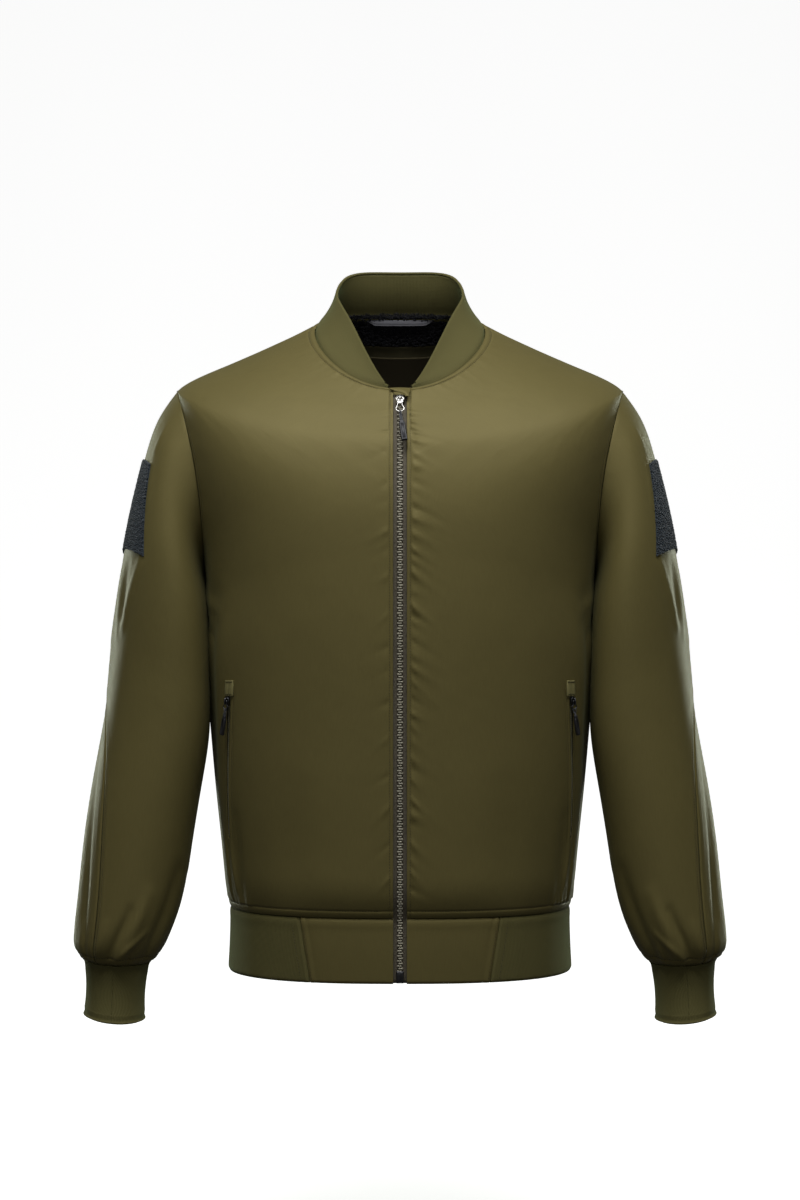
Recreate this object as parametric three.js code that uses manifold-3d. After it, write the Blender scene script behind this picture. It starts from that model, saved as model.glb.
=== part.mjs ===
// A zip-up bomber jacket, filled out as if worn: two fronts, a back, two-piece sleeves with pile patches,
// a rib collar, rib cuffs, a hem band that is rib at the sides and back and shell cloth at the front,
// a moulded centre zip and two zipped pockets.
// Millimetres, +Z up, the fronts face -Y, the wearer's left is +X.
// The origin is the point between the shoulders on which the jacket hangs when it is worn.
import * as THREE from "three";
import { mergeVertices } from "three/addons/utils/BufferGeometryUtils.js";
import Module from "manifold-3d";

const wasm = await Module();
wasm.setup();

// Cloth thicknesses and clearances
const SHELL = 1.8; // shell cloth with the backing that is bonded to it
const RIB = 3; // rib knit folded double
const PILE = 2.2; // loop pile patch
const FLEECE = 2.6;
const TAPE = 1; // woven tape
const SEAM_GAP = 0.3;
const RAD = Math.PI / 180;

/** Rows of numbers as objects with a named value for each column. */
function namedColumns(columns, rows) {
  return rows.map((row) => Object.fromEntries(columns.map((column, i) => [column, row[i]])));
}

// Torso: one row for each ring of cloth, from the waist seam (up 0) over the chest to the neck seam.
// Each ring is a rounded oval through a centre front, a side and a centre back point.
// `square` is the power of the oval: 2 is an ellipse, and more is squarer.
const WAIST_UP = 0;
const UNDERARM_UP = 340;
const SHOULDER_UP = 470;
const NECK_UP = 600;
const TORSO_COLUMNS = ["up", "frontY", "frontZ", "sideX", "sideY", "sideZ", "backY", "backZ", "square"];
const TORSO = namedColumns(TORSO_COLUMNS, [
  [WAIST_UP, -121, -575, 169, 2, -575, 112, -575, 2.5],
  [18, -127, -557, 173, 3, -557, 118, -557, 2.5],
  [50, -130, -525, 177, 5, -525, 121, -525, 2.5],
  [110, -132, -465, 183.5, 9, -465, 120, -465, 2.5],
  [190, -133, -385, 190.5, 12, -387, 121, -385, 2.5],
  [270, -135, -305, 194.5, 13, -310, 126, -305, 2.5],
  [UNDERARM_UP, -135, -236, 195, 10, -240, 131, -236, 2.5],
  [385, -133, -194, 210, 7, -165, 133, -192, 2.45],
  [430, -126, -154, 226, 5, -102, 131, -147, 2.35],
  [SHOULDER_UP, -115, -121, 222, 4, -63, 126, -103, 2.2],
  [490, -110, -112, 204, 4, -51, 121, -85, 2.15],
  [515, -104, -101, 180, 4, -40.5, 114, -63, 2.1],
  [560, -93, -85, 131, 2, -21, 98, -22, 2.05],
  [NECK_UP, -80, -67, 85, -1, -3, 78, 19, 2],
]);

// Armhole: the seam passes through these four points of the left side.
const ARMHOLE = {
  front: { x: 199, y: -62, z: -150 },
  outer: { x: 222, y: 4, z: -63 },
  back: { x: 200, y: 72, z: -150 },
  inner: { x: 195, y: 10, z: -240 },
};

// Left sleeve: one row for each ring from the armhole (down 0) to the cuff seam.
// outX/outZ is the point furthest from the body and inX/inZ the nearest.
const SLEEVE_END = 560;
const SLEEVE_COLUMNS = [
  "down", "outX", "outZ", "inX", "inY", "inZ",
  "frontX", "frontY", "frontZ", "backX", "backY", "backZ",
];
const SLEEVE = namedColumns(SLEEVE_COLUMNS, [
  [0, 222, -63, 195, 10, -240, 199, -62, -150, 200, 72, -150],
  [30, 240, -89, 195, 3, -247, 212, -65, -161, 213, 77, -161],
  [70, 254, -128, 193.5, -10, -257, 222, -71, -185, 223, 82, -186],
  [115, 265, -172, 191.5, -22, -271, 229, -76, -216, 230, 83, -218],
  [165, 275, -222, 190, -30, -290, 235, -77, -254, 235, 80, -256],
  [215, 282, -275, 189, -33, -318, 239, -76, -295, 239, 75, -298],
  [270, 288, -334, 188, -34, -356, 242, -74, -343, 242, 69, -347],
  [320, 294, -386, 188, -33, -398, 246, -74, -391, 246, 64, -393],
  [385, 303, -452, 196, -30, -454, 253, -75, -453, 253, 54, -453],
  [450, 311, -518, 206.5, -28, -518, 261, -75, -518, 261, 43, -518],
  [500, 316.5, -568, 215.5, -26, -568, 268, -75, -570, 268, 34, -566],
  [537, 321, -601, 228, -26, -603, 275, -73, -606, 275, 26, -599],
  [551, 319.5, -615, 236.5, -26, -618, 278, -68, -620, 278, 19, -613],
  [SLEEVE_END, 313, -624.5, 245.6, -26, -628.5, 279.5, -60, -629.5, 279.5, 9, -623.5],
]);
// Depth of the sleeve's outer point at the armhole, and how far and where it comes forward down the arm
const SLEEVE_OUT = { y: 4, drift: -30, start: 150, length: 440 };

// Rib cuff, from the sleeve's end down
const CUFF_HEIGHT = 55;
const CUFF_TOP = { x: 279.8, y: -25.5, z: -626.5, halfX: 33, halfY: 34 };
const CUFF_WAIST_SHRINK = 2; // the knit pulls in a little below the seam
const CUFF_END_SHIFT = { x: 2.2, y: -4, z: -CUFF_HEIGHT };
const CUFF_OUTER_LIFT = 1; // the outer side ends higher, square to the slanting arm
const CUFF_SEAM_TILT = { outer: 2, front: 3 };
const CUFF_TAPER = { x: 3.8, y: 2.5 };

// Hem band, from the waist seam down: ring sizes at its top, middle and bottom
const HEM_BOTTOM_Z = -637;
const HEM = [
  { z: -575.3, side: 169, front: 121, back: 112 },
  { z: -605, side: 169.5, front: 121.5, back: 112.5 },
  { z: HEM_BOTTOM_Z + RIB / 2, side: 171, front: 121, back: 113 },
];
const HEM_FRONT_TOP_X = 96; // the slanting seam where the front pieces of the hem meet the rib
const HEM_FRONT_BOTTOM_X = 86;

// Rib collar: its height round the neck, and how far its free edge comes in from the seam.
// turn is the angle from centre front in degrees.
const COLLAR_START_X = 12; // each end of the collar stops this far from the centre front
const COLLAR = [
  { turn: 8, height: 3, inX: 0, edgeY: 1, rise: 2 },
  { turn: 22, height: 19, inX: 9, edgeY: 8, rise: 13 },
  { turn: 40, height: 37, inX: 18, edgeY: 15, rise: 27 },
  { turn: 60, height: 51, inX: 22, edgeY: 19, rise: 40 },
  { turn: 80, height: 50, inX: 21, edgeY: 14, rise: 42 },
  { turn: 100, height: 48, inX: 20.5, edgeY: 5, rise: 40 },
  { turn: 125, height: 47, inX: 14, edgeY: -7, rise: 41 },
  { turn: 152, height: 46, inX: 5, edgeY: -14, rise: 42.5 },
  { turn: 180, height: 46, inX: 0, edgeY: -17, rise: 42 },
];
const COLLAR_FLARE = 3.5; // how far the band hollows towards the neck between its two edges

// Centre front zip
const ZIP_HALF_GAP = 6.5; // from the centre to the folded edge of each front
const ZIP_TAPE_HALF = 15;
const ZIP_TEETH_HALF = 2.8;
const ZIP_TEETH_HEIGHT = 2.4;
const ZIP_TOP_UP = 588; // where the closed teeth end, under the slider
const PLACKET_HALF = 21; // wind flap behind the zip
const SLIDER = { width: 8.6, length: 11, height: 3.2 };

// Pockets: the zip runs down the side of each front
const POCKET_TOP_UP = 222;
const POCKET_LENGTH = 150;
const POCKET_TOP_TURN = 52.4; // angles from centre front, in degrees
const POCKET_BOTTOM_TURN = 62;
const POCKET_HALF_GAP = 2.2;
const POCKET_TAPE_HALF = 9;
const POCKET_TEETH_HALF = 1.6;
const POCKET_TAB = { width: 10, length: 15, thickness: 1.4 };

// Pile patch on each upper sleeve: the ends of its front and back edge, as an angle in degrees and a way
// down the sleeve; its top and bottom lie level and its front edge hangs plumb on the slanting arm
const PATCH_FRONT = { top: { turn: 47, down: 67 }, bottom: { turn: 22, down: 152 } };
const PATCH_BACK = { top: { turn: 98, down: 79 }, bottom: { turn: 98, down: 170 } };
const PATCH_ROWS = 9;
const PATCH_COLUMNS = 13;

// Colours from the photograph
const OLIVE = new THREE.MeshStandardMaterial({ color: 0x5a5333, roughness: 0.55, metalness: 0 });
const OLIVE_RIB = new THREE.MeshStandardMaterial({ color: 0x55502f, roughness: 0.85, metalness: 0 });
const NAVY_PILE = new THREE.MeshStandardMaterial({ color: 0x1d242b, roughness: 1, metalness: 0 });
const BLACK_FLEECE = new THREE.MeshStandardMaterial({ color: 0x0c0d10, roughness: 1, metalness: 0 });
const GREY_TAPE = new THREE.MeshStandardMaterial({ color: 0x36363a, roughness: 0.8, metalness: 0 });
const DARK_OLIVE = new THREE.MeshStandardMaterial({ color: 0x2c281a, roughness: 0.8, metalness: 0 });
const TAUPE_TAPE = new THREE.MeshStandardMaterial({ color: 0x5d5648, roughness: 0.8, metalness: 0 });
const ZIP_TEETH = new THREE.MeshStandardMaterial({ color: 0x6b6455, roughness: 0.45, metalness: 0.2 });
const NICKEL = new THREE.MeshStandardMaterial({ color: 0xb9b8b2, roughness: 0.3, metalness: 1 });
const GUNMETAL = new THREE.MeshStandardMaterial({ color: 0x3a3a3d, roughness: 0.4, metalness: 1 });
const BLACK_RUBBER = new THREE.MeshStandardMaterial({ color: 0x15161a, roughness: 0.6, metalness: 0 });

// Smooth curve through a table
/** A natural cubic spline through the points (xs, ys), as a function of x. */
function naturalSpline(xs, ys) {
  const last = xs.length - 1;
  const bend = new Array(last + 1).fill(0);
  const ratio = new Array(last + 1).fill(0);
  for (let i = 1; i < last; i++) {
    const before = xs[i] - xs[i - 1];
    const after = xs[i + 1] - xs[i];
    const slopeChange = (ys[i + 1] - ys[i]) / after - (ys[i] - ys[i - 1]) / before;
    const pivot = 2 * (before + after) - before * ratio[i - 1];
    ratio[i] = after / pivot;
    bend[i] = (6 * slopeChange - before * bend[i - 1]) / pivot;
  }
  for (let i = last - 1; i > 0; i--) bend[i] -= ratio[i] * bend[i + 1];
  return (x) => {
    let i = 0;
    while (i < last - 1 && x > xs[i + 1]) i++;
    const width = xs[i + 1] - xs[i];
    const b = (x - xs[i]) / width;
    const a = 1 - b;
    const curve = ((a * a * a - a) * bend[i] + (b * b * b - b) * bend[i + 1]) * width * width;
    return a * ys[i] + b * ys[i + 1] + curve / 6;
  };
}

/** Turns a table into a function that gives every column at a value of its key column. */
function smoothTable(rows, key) {
  const columns = Object.keys(rows[0]).filter((name) => name !== key);
  const at = rows.map((row) => row[key]);
  const curves = columns.map((name) => naturalSpline(at, rows.map((row) => row[name])));
  return (value) => Object.fromEntries(columns.map((name, i) => [name, curves[i](value)]));
}

/** Evenly spaced values with both ends. */
const spaced = (from, to, steps) =>
  Array.from({ length: steps + 1 }, (_, i) => from + ((to - from) * i) / steps);

const vec = (x, y, z) => new THREE.Vector3(x, y, z);
const lerp = THREE.MathUtils.lerp;
const clamp = THREE.MathUtils.clamp;
const clamp01 = (t) => clamp(t, 0, 1);
const smooth01 = (t) => clamp01(t) ** 2 * (3 - 2 * clamp01(t));
const middleOf = (a, b) => new THREE.Vector3().addVectors(a, b).multiplyScalar(0.5);
const torsoRow = smoothTable(TORSO, "up");
const sleeveRow = smoothTable(SLEEVE, "down");
const hemRow = smoothTable([...HEM].reverse(), "z");
const collarRow = smoothTable(COLLAR, "turn");

// Folds: each is a soft ridge (height above 0) or trough (below 0) along a straight line on the flat cloth,
// from one angle and place to another. A place is the way up the torso or down the sleeve.
const FOLD_COLUMNS = ["fromTurn", "from", "toTurn", "to", "wide", "height"];
const FOLD_ENDS = { height: 0.35, from: 0.12, to: 0.88 }; // how a fold fades towards its two ends
const TORSO_GIRTH = 165; // millimetres of cloth for each radian round the torso
const TORSO_FOLDS = namedColumns(FOLD_COLUMNS, [
  [64, 310, 71, 150, 15, -3],
  [52, 300, 60, 190, 18, 2],
  [74, 230, 78, 40, 13, -2.5],
  [30, 120, 36, 15, 16, -1.6],
  [56, 90, 58, 6, 9, -1.8],
  [66, 70, 66, 6, 8, 1.8],
  [105, 300, 98, 60, 16, -3],
  [122, 330, 112, 120, 18, 2.5],
  [140, 250, 128, 40, 20, -2.5],
  [158, 160, 152, 12, 17, 2],
]);
const SLEEVE_GIRTH = 62; // millimetres of cloth for each radian round the sleeve
const SLEEVE_FOLDS = namedColumns(FOLD_COLUMNS, [
  [84, 308, 47, 548, 6, -2.6],
  [100, 330, 72, 545, 14, 3.4],
  [70, 190, 78, 290, 9, 2.2],
  [92, 190, 92, 270, 8, -1.8],
  [300, 470, 318, 556, 10, -3],
  [336, 490, 350, 557, 9, 2.6],
  [352, 505, 8, 558, 6, -3],
  [18, 520, 22, 557, 7, 2.4],
  [130, 480, 136, 557, 9, -2.6],
  [160, 500, 168, 557, 9, 2.4],
  [196, 485, 198, 557, 9, -2.6],
  [232, 500, 232, 557, 9, 2.4],
  [262, 480, 266, 557, 8, -2.2],
  [150, 300, 215, 345, 13, -2.6],
  [155, 255, 220, 300, 14, 2],
]);

/** Folds with both ends in millimetres of flat cloth, where the cloth has `girth` for each radian. */
function flatFolds(folds, girth) {
  return folds.map(({ fromTurn, from, toTurn, to, wide, height }) => {
    const endTurn = toTurn < fromTurn - 180 ? toTurn + 360 : toTurn;
    const start = { across: fromTurn * RAD * girth, along: from };
    const end = { across: endTurn * RAD * girth, along: to };
    return { start, end, wide, height };
  });
}

/** Height of a set of folds at a point of the flat cloth; `wrap` is the whole way round, for a tube. */
function foldHeight(folds, across, along, wrap = 0) {
  let total = 0;
  for (const { start, end, wide, height } of folds) {
    const runAcross = end.across - start.across;
    const runAlong = end.along - start.along;
    let fromStart = across - start.across;
    if (wrap) fromStart -= wrap * Math.round((fromStart - runAcross / 2) / wrap);
    const down = along - start.along;
    const share = clamp01((fromStart * runAcross + down * runAlong) / (runAcross ** 2 + runAlong ** 2));
    const away = Math.hypot(fromStart - share * runAcross, down - share * runAlong) / wide;
    const swell = Math.sin(Math.PI * lerp(FOLD_ENDS.from, FOLD_ENDS.to, share));
    total += height * lerp(FOLD_ENDS.height, 1, swell) * Math.exp(-away * away);
  }
  return total;
}

const torsoFolds = flatFolds(TORSO_FOLDS, TORSO_GIRTH);
const sleeveFolds = flatFolds(SLEEVE_FOLDS, SLEEVE_GIRTH);

// Torso form
/** A point of the plain torso form: `up` is the ring, `turn` the angle from centre front to centre back. */
function torsoRing(up, turn) {
  const row = torsoRow(up);
  const s = Math.sin(turn);
  const c = Math.cos(turn);
  const reach = (Math.abs(s) ** row.square + Math.abs(c) ** row.square) ** (-1 / row.square);
  const across = reach * s;
  const forward = reach * c;
  const depth = forward > 0 ? row.sideY - row.frontY : row.backY - row.sideY;
  const middle = (row.frontZ + row.backZ) / 2;
  const tilt = (row.backZ - row.frontZ) / 2;
  const z = middle - tilt * forward + (row.sideZ - middle) * across * across;
  return vec(row.sideX * across, row.sideY - depth * forward, z);
}

/** A point of the closed curve through four points: turn 0 is the front, 90 degrees the outside. */
function fourPointLoop(front, outer, back, inner, turn) {
  const s = Math.sin(turn);
  const c = Math.cos(turn);
  const centre = middleOf(middleOf(front, back), middleOf(outer, inner));
  return centre
    .clone()
    .addScaledVector(vec(0, 0, 0).subVectors(front, back), c / 2)
    .addScaledVector(vec(0, 0, 0).subVectors(outer, inner), s / 2)
    .addScaledVector(middleOf(front, back).sub(centre), c * c)
    .addScaledVector(middleOf(outer, inner).sub(centre), s * s);
}

const ARM_STEPS = 9; // rings of the torso between the underarm and the shoulder point
const ARM_STEP = Math.PI / ARM_STEPS;

/** A point of the armhole seam: turn -90 degrees under the arm, 0 at the front, 90 on the shoulder.
    It runs straight between the points where the rings of the torso meet it. */
function armholePoint(turn) {
  const steps = (turn + Math.PI / 2) / ARM_STEP;
  const whole = Math.floor(steps + 1e-6);
  const corner = (k) =>
    fourPointLoop(ARMHOLE.front, ARMHOLE.outer, ARMHOLE.back, ARMHOLE.inner, k * ARM_STEP - Math.PI / 2);
  return corner(whole).lerp(corner(whole + 1), clamp01(steps - whole));
}

const SIDE_SEAM_TURN = 91 * RAD;
const SHOULDER_SEAM_TURN = 90 * RAD;
const NECK_POINT_TURN = 97 * RAD;

/** The angle and the point at which a ring of the torso ends, at a seam or the armhole. */
function torsoEdge(up, isFront) {
  if (up <= UNDERARM_UP) return { turn: SIDE_SEAM_TURN, point: torsoRing(up, SIDE_SEAM_TURN) };
  if (up >= SHOULDER_UP) {
    const share = (up - SHOULDER_UP) / (NECK_UP - SHOULDER_UP);
    const turn = lerp(SHOULDER_SEAM_TURN, NECK_POINT_TURN, share);
    return { turn, point: torsoRing(up, turn) };
  }
  const share = (up - UNDERARM_UP) / (SHOULDER_UP - UNDERARM_UP);
  const armTurn = (-90 + 180 * share) * RAD;
  const point = armholePoint(isFront ? armTurn : Math.PI - armTurn);
  const row = torsoRow(up);
  const depth = point.y < row.sideY ? row.sideY - row.frontY : row.backY - row.sideY;
  return { turn: Math.atan2(point.x / row.sideX, (row.sideY - point.y) / depth), point };
}

const EDGE_PULL = 3; // power with which a ring is drawn to the armhole seam at its end

/** A plain point of a torso panel: share 0 is the centre line and 1 the seam or armhole. */
function torsoPlain(up, share, isFront) {
  const edge = torsoEdge(up, isFront);
  const centreTurn = isFront ? 0 : Math.PI;
  const point = torsoRing(up, lerp(centreTurn, edge.turn, share));
  const pull = Math.abs(share) ** EDGE_PULL;
  return point.add(edge.point.clone().sub(torsoRing(up, edge.turn)).multiplyScalar(pull));
}

const STEP = 0.004; // step for slopes, as a share of a panel or in radians
const STEP_MM = 0.5;
const SMALLEST_FOLD = 1e-4;
const TORSO_CALM = { above: UNDERARM_UP + 60, fade: 70, waistFade: 26 }; // the folds die out here

/** The outward normal of a surface of two shares, by small differences. `flip` turns it round. */
function surfaceNormal(surface, u, v, du, dv, flip) {
  const alongU = surface(u + du, v).sub(surface(u - du, v));
  const alongV = surface(u, v + dv).sub(surface(u, v - dv));
  return alongU.cross(alongV).multiplyScalar(flip ? -1 : 1).normalize();
}

/** A point of a torso panel with its folds. The folds die out at the armhole, the shoulder and the neck. */
function torsoPanel(up, share, isFront) {
  const plain = (u, v) => torsoPlain(u, v, isFront);
  const edge = torsoEdge(up, isFront);
  const turn = lerp(isFront ? 0 : Math.PI, edge.turn, share);
  const calm =
    smooth01((TORSO_CALM.above - up) / TORSO_CALM.fade) * smooth01((up - WAIST_UP) / TORSO_CALM.waistFade);
  const height = foldHeight(torsoFolds, turn * TORSO_GIRTH, up) * calm;
  if (Math.abs(height) < SMALLEST_FOLD) return plain(up, share);
  return plain(up, share).addScaledVector(surfaceNormal(plain, up, share, STEP_MM, STEP, isFront), height);
}

const torsoNormal = (up, share, isFront) =>
  surfaceNormal((u, v) => torsoPanel(u, v, isFront), up, share, STEP_MM, STEP, isFront);

// Sleeve form
/** A plain point of the left sleeve: turn 0 at the front, 90 degrees outside, 180 at the back. */
function sleevePlain(down, turn) {
  const row = sleeveRow(down);
  const outY = SLEEVE_OUT.y + SLEEVE_OUT.drift * smooth01((down - SLEEVE_OUT.start) / SLEEVE_OUT.length);
  return fourPointLoop(
    vec(row.frontX, row.frontY, row.frontZ),
    vec(row.outX, outY, row.outZ),
    vec(row.backX, row.backY, row.backZ),
    vec(row.inX, row.inY, row.inZ),
    turn,
  );
}

// Where the sleeve lies against the body it follows the body's side at this distance
const BODY_CLEAR = { seam: 0.4, below: 2.4, from: 35, facing: 0.5 };
const BODY_SAMPLES = { ups: spaced(40, 416, 47), shares: spaced(0.48, 0.9935, 13) };
const bodySide = [true, false].flatMap((isFront) =>
  BODY_SAMPLES.ups.flatMap((up) =>
    BODY_SAMPLES.shares.map((share) => ({
      point: torsoPanel(up, share, isFront),
      normal: torsoNormal(up, share, isFront),
    })),
  ),
);

/** Moves a point of the sleeve off the body where the two face each other. */
function clearOfBody(point, normal, clearance) {
  let nearest = bodySide[0];
  let least = Infinity;
  for (const sample of bodySide) {
    const away = sample.point.distanceToSquared(point);
    if (away < least) {
      least = away;
      nearest = sample;
    }
  }
  const facing = smooth01(-normal.dot(nearest.normal) / BODY_CLEAR.facing);
  const short = clearance - vec(0, 0, 0).subVectors(point, nearest.point).dot(nearest.normal);
  if (short > 0 && facing > 0) point.addScaledVector(nearest.normal, short * facing);
  return point;
}

// The folds of the sleeve start below the armhole and flatten from here towards the cuff seam
const SLEEVE_CALM = { head: 40, from: 547, flattened: 0.85 };

/** A point of the left sleeve with its folds, which die out at the armhole seam. */
function sleeveSurface(down, turn) {
  const wrap = 2 * Math.PI * SLEEVE_GIRTH;
  const flattened = smooth01((down - SLEEVE_CALM.from) / (SLEEVE_END - SLEEVE_CALM.from));
  const calm = smooth01(down / SLEEVE_CALM.head) * (1 - SLEEVE_CALM.flattened * flattened);
  const height = foldHeight(sleeveFolds, turn * SLEEVE_GIRTH, down, wrap) * calm;
  const normal = surfaceNormal(sleevePlain, down, turn, STEP_MM, STEP, false);
  const point = sleevePlain(down, turn).addScaledVector(normal, height);
  const clearance = lerp(BODY_CLEAR.seam, BODY_CLEAR.below, smooth01(down / BODY_CLEAR.from));
  return clearOfBody(point, normal, clearance);
}

const sleeveNormal = (down, turn) => surfaceNormal(sleeveSurface, down, turn, STEP_MM, STEP, false);

// Walls
/** A closed wall between outer and inner points, [row][column].
    `cap` and `foot` round its last and first rows. */
function wallGeometry(outer, inner, { tube = false, cap = null, foot = null } = {}) {
  const columns = outer[0].length;
  const loops = [];
  for (let i = 0; i < columns; i++) {
    const loop = outer.map((row) => row[i]);
    if (cap) loop.push(cap[i]);
    for (let j = inner.length - 1; j >= 0; j--) loop.push(inner[j][i]);
    if (foot) loop.push(foot[i]);
    loops.push(loop);
  }
  const size = loops[0].length;
  const positions = loops.flat().flatMap((p) => [p.x, p.y, p.z]);
  const index = [];
  const strips = tube ? columns : columns - 1;
  for (let i = 0; i < strips; i++) {
    const here = i * size;
    const next = ((i + 1) % columns) * size;
    for (let j = 0; j < size; j++) {
      const k = (j + 1) % size;
      // Both faces of the wall are split along the same diagonal, so that layers fit them exactly
      if (j < outer.length) index.push(here + j, next + j, next + k, here + j, next + k, here + k);
      else index.push(here + j, next + j, here + k, next + j, next + k, here + k);
    }
  }
  if (!tube) {
    const rows = outer.length;
    const innerStart = rows + (cap ? 1 : 0);
    const innerOf = (j) => innerStart + rows - 1 - j;
    for (const [start, isFirst] of [[0, true], [(columns - 1) * size, false]]) {
      const add = (a, b, c) => {
        if (isFirst) index.push(start + a, start + b, start + c);
        else index.push(start + a, start + c, start + b);
      };
      for (let j = 0; j + 1 < rows; j++) {
        add(j, j + 1, innerOf(j + 1));
        add(j, innerOf(j + 1), innerOf(j));
      }
      if (cap) add(rows - 1, rows, innerOf(rows - 1));
      if (foot) add(0, innerOf(0), size - 1);
    }
  }
  const geometry = new THREE.BufferGeometry();
  geometry.setAttribute("position", new THREE.Float32BufferAttribute(positions, 3));
  geometry.setIndex(index);
  return facingOut(geometry);
}

/** Six times the volume inside a closed geometry: negative where its faces point inwards. */
function sixVolumes(geometry) {
  const p = geometry.getAttribute("position");
  const index = geometry.index.array;
  const a = vec(0, 0, 0);
  const b = vec(0, 0, 0);
  const c = vec(0, 0, 0);
  let total = 0;
  for (let i = 0; i < index.length; i += 3) {
    a.fromBufferAttribute(p, index[i]);
    b.fromBufferAttribute(p, index[i + 1]);
    c.fromBufferAttribute(p, index[i + 2]);
    total += a.dot(b.cross(c));
  }
  return total;
}

/** The same geometry with its faces turned to point outwards. */
function facingOut(geometry) {
  if (sixVolumes(geometry) < 0) {
    const index = geometry.index.array;
    for (let i = 0; i < index.length; i += 3) {
      const swap = index[i + 1];
      index[i + 1] = index[i + 2];
      index[i + 2] = swap;
    }
  }
  return geometry;
}

/** A geometry mirrored to the other side of the jacket. */
function mirrored(geometry) {
  const copy = geometry.clone();
  copy.applyMatrix4(new THREE.Matrix4().makeScale(-1, 1, 1));
  if (!copy.index) copy.setIndex([...Array(copy.getAttribute("position").count).keys()]);
  return facingOut(copy);
}

/** A wall laid from a surface function: `point` and `normal` take a row and a column value.
    Its outer face stands `outset` off the surface. */
function layWall(rows, columns, point, normal, outset, thickness, options = {}) {
  const outer = rows.map((r) => columns.map((c) => point(r, c).addScaledVector(normal(r, c), outset)));
  const inner = rows.map((r) =>
    columns.map((c) => point(r, c).addScaledVector(normal(r, c), outset - thickness)),
  );
  const fold = (edge, before) =>
    columns.map((_, i) => {
      const middle = outer[edge][i].clone().add(inner[edge][i]).multiplyScalar(0.5);
      const out = outer[edge][i].clone().sub(outer[before][i]).normalize();
      return middle.addScaledVector(out, thickness / 2);
    });
  const last = rows.length - 1;
  return wallGeometry(outer, inner, {
    tube: options.tube,
    cap: options.foldLast ? fold(last, last - 1) : null,
    foot: options.foldFirst ? fold(0, 1) : null,
  });
}

// Sides of the armhole: body and sleeve lean their rims together on the shoulder, where they would cross
const FOLD_LIMIT = 0.3;
function sharedNormal(own, other) {
  const near = smooth01((own.dot(other) + FOLD_LIMIT) / (2 * FOLD_LIMIT));
  return own.clone().addScaledVector(other, near).normalize();
}

const armTurnOf = (up) => (-90 + (180 * (up - UNDERARM_UP)) / (SHOULDER_UP - UNDERARM_UP)) * RAD;

const ARM_ENDS = { under: 2, shoulder: 6 }; // the body's slopes are read this far inside the armhole's ends

/** The body's own normal at the armhole seam, for any turn round the armhole. */
function bodySeamNormal(turn) {
  const isFront = Math.cos(turn) >= -1e-9 && Math.abs(turn) <= Math.PI / 2 + 1e-6;
  const armTurn = isFront ? turn : Math.PI - turn;
  const up = UNDERARM_UP + ((armTurn / RAD + 90) / 180) * (SHOULDER_UP - UNDERARM_UP);
  const inside = clamp(up, UNDERARM_UP + ARM_ENDS.under, SHOULDER_UP - ARM_ENDS.shoulder);
  return torsoNormal(inside, 1 - 2 * STEP, isFront);
}

/** The sleeve's own normal at the armhole seam. */
const SLEEVE_SEAM_DOWN = 2; // its slope is read this far down
const sleeveSeamNormal = (turn) => sleeveNormal(SLEEVE_SEAM_DOWN, turn);

const LEAN_FROM = 0.9; // share of a panel from which its wall leans

/** The normal along which a torso panel's thickness runs, leaned to the sleeve at the armhole. */
function torsoWallNormal(up, share, isFront) {
  const inArmhole = up > UNDERARM_UP && up <= SHOULDER_UP;
  if (!inArmhole || share < LEAN_FROM) return torsoNormal(up, Math.min(share, 1 - STEP), isFront);
  const armTurn = isFront ? armTurnOf(up) : Math.PI - armTurnOf(up);
  return sharedNormal(bodySeamNormal(armTurn), sleeveSeamNormal(armTurn));
}

/** The share of a panel at which its edge stands half a seam gap back from the seam. */
function seamShare(up, isFront) {
  const near = 0.02;
  const length = torsoPlain(up, 1, isFront).distanceTo(torsoPlain(up, 1 - near, isFront)) / near;
  return 1 - SEAM_GAP / 2 / length;
}

const GATHERED_UP = 24; // the rows stand closer up to here, where the cloth is gathered into the hem band
const torsoUps = [
  ...spaced(WAIST_UP + SEAM_GAP / 2, GATHERED_UP, 2),
  ...spaced(2 * GATHERED_UP + 2, UNDERARM_UP, 8),
  ...spaced(UNDERARM_UP, SHOULDER_UP, ARM_STEPS).slice(1),
  ...spaced(SHOULDER_UP, NECK_UP - SEAM_GAP / 2, 5).slice(1),
];
const FRONT_COLUMNS = 10;
const BACK_COLUMNS = 16;
const POCKET_COLUMN = 0.7; // the column of the front that follows the pocket zip

/** A panel of cloth: its grid of points and normals, and the faceted surface between them. */
class Panel {
  constructor(rows, columns, point, normal) {
    this.rows = rows;
    this.columns = columns;
    this.points = rows.map((r) => columns.map((c) => point(r, c)));
    this.normals = rows.map((r) => columns.map((c) => normal(r, c)));
  }

  /** Blends a grid at a row and a column value, over the triangle of the wall that holds it. */
  blend(grid, r, c) {
    const [i, s] = cell(this.rows, r);
    const [j, t] = cell(this.columns, c);
    const corner = grid[i][j];
    const far = grid[i + 1][j + 1];
    const side = t >= s ? grid[i][j + 1] : grid[i + 1][j];
    return corner
      .clone()
      .addScaledVector(vec(0, 0, 0).subVectors(side, corner), Math.max(s, t))
      .addScaledVector(vec(0, 0, 0).subVectors(far, side), Math.min(s, t));
  }

  point(r, c) {
    return this.blend(this.points, r, c);
  }

  normal(r, c) {
    return this.blend(this.normals, r, c).normalize();
  }

  wall(thickness) {
    return layWall(this.rows, this.columns, this.point.bind(this), this.normal.bind(this), 0, thickness);
  }

  /** A layer on the panel between two rows; `columnAt` turns its own column values into the panel's. */
  layer(fromRow, toRow, columns, outset, thickness, columnAt = (r, c) => c) {
    return layWall(
      between(this.rows, fromRow, toRow),
      columns,
      (r, c) => this.point(r, columnAt(r, c)),
      (r, c) => this.normal(r, columnAt(r, c)),
      outset,
      thickness,
    );
  }
}

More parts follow.
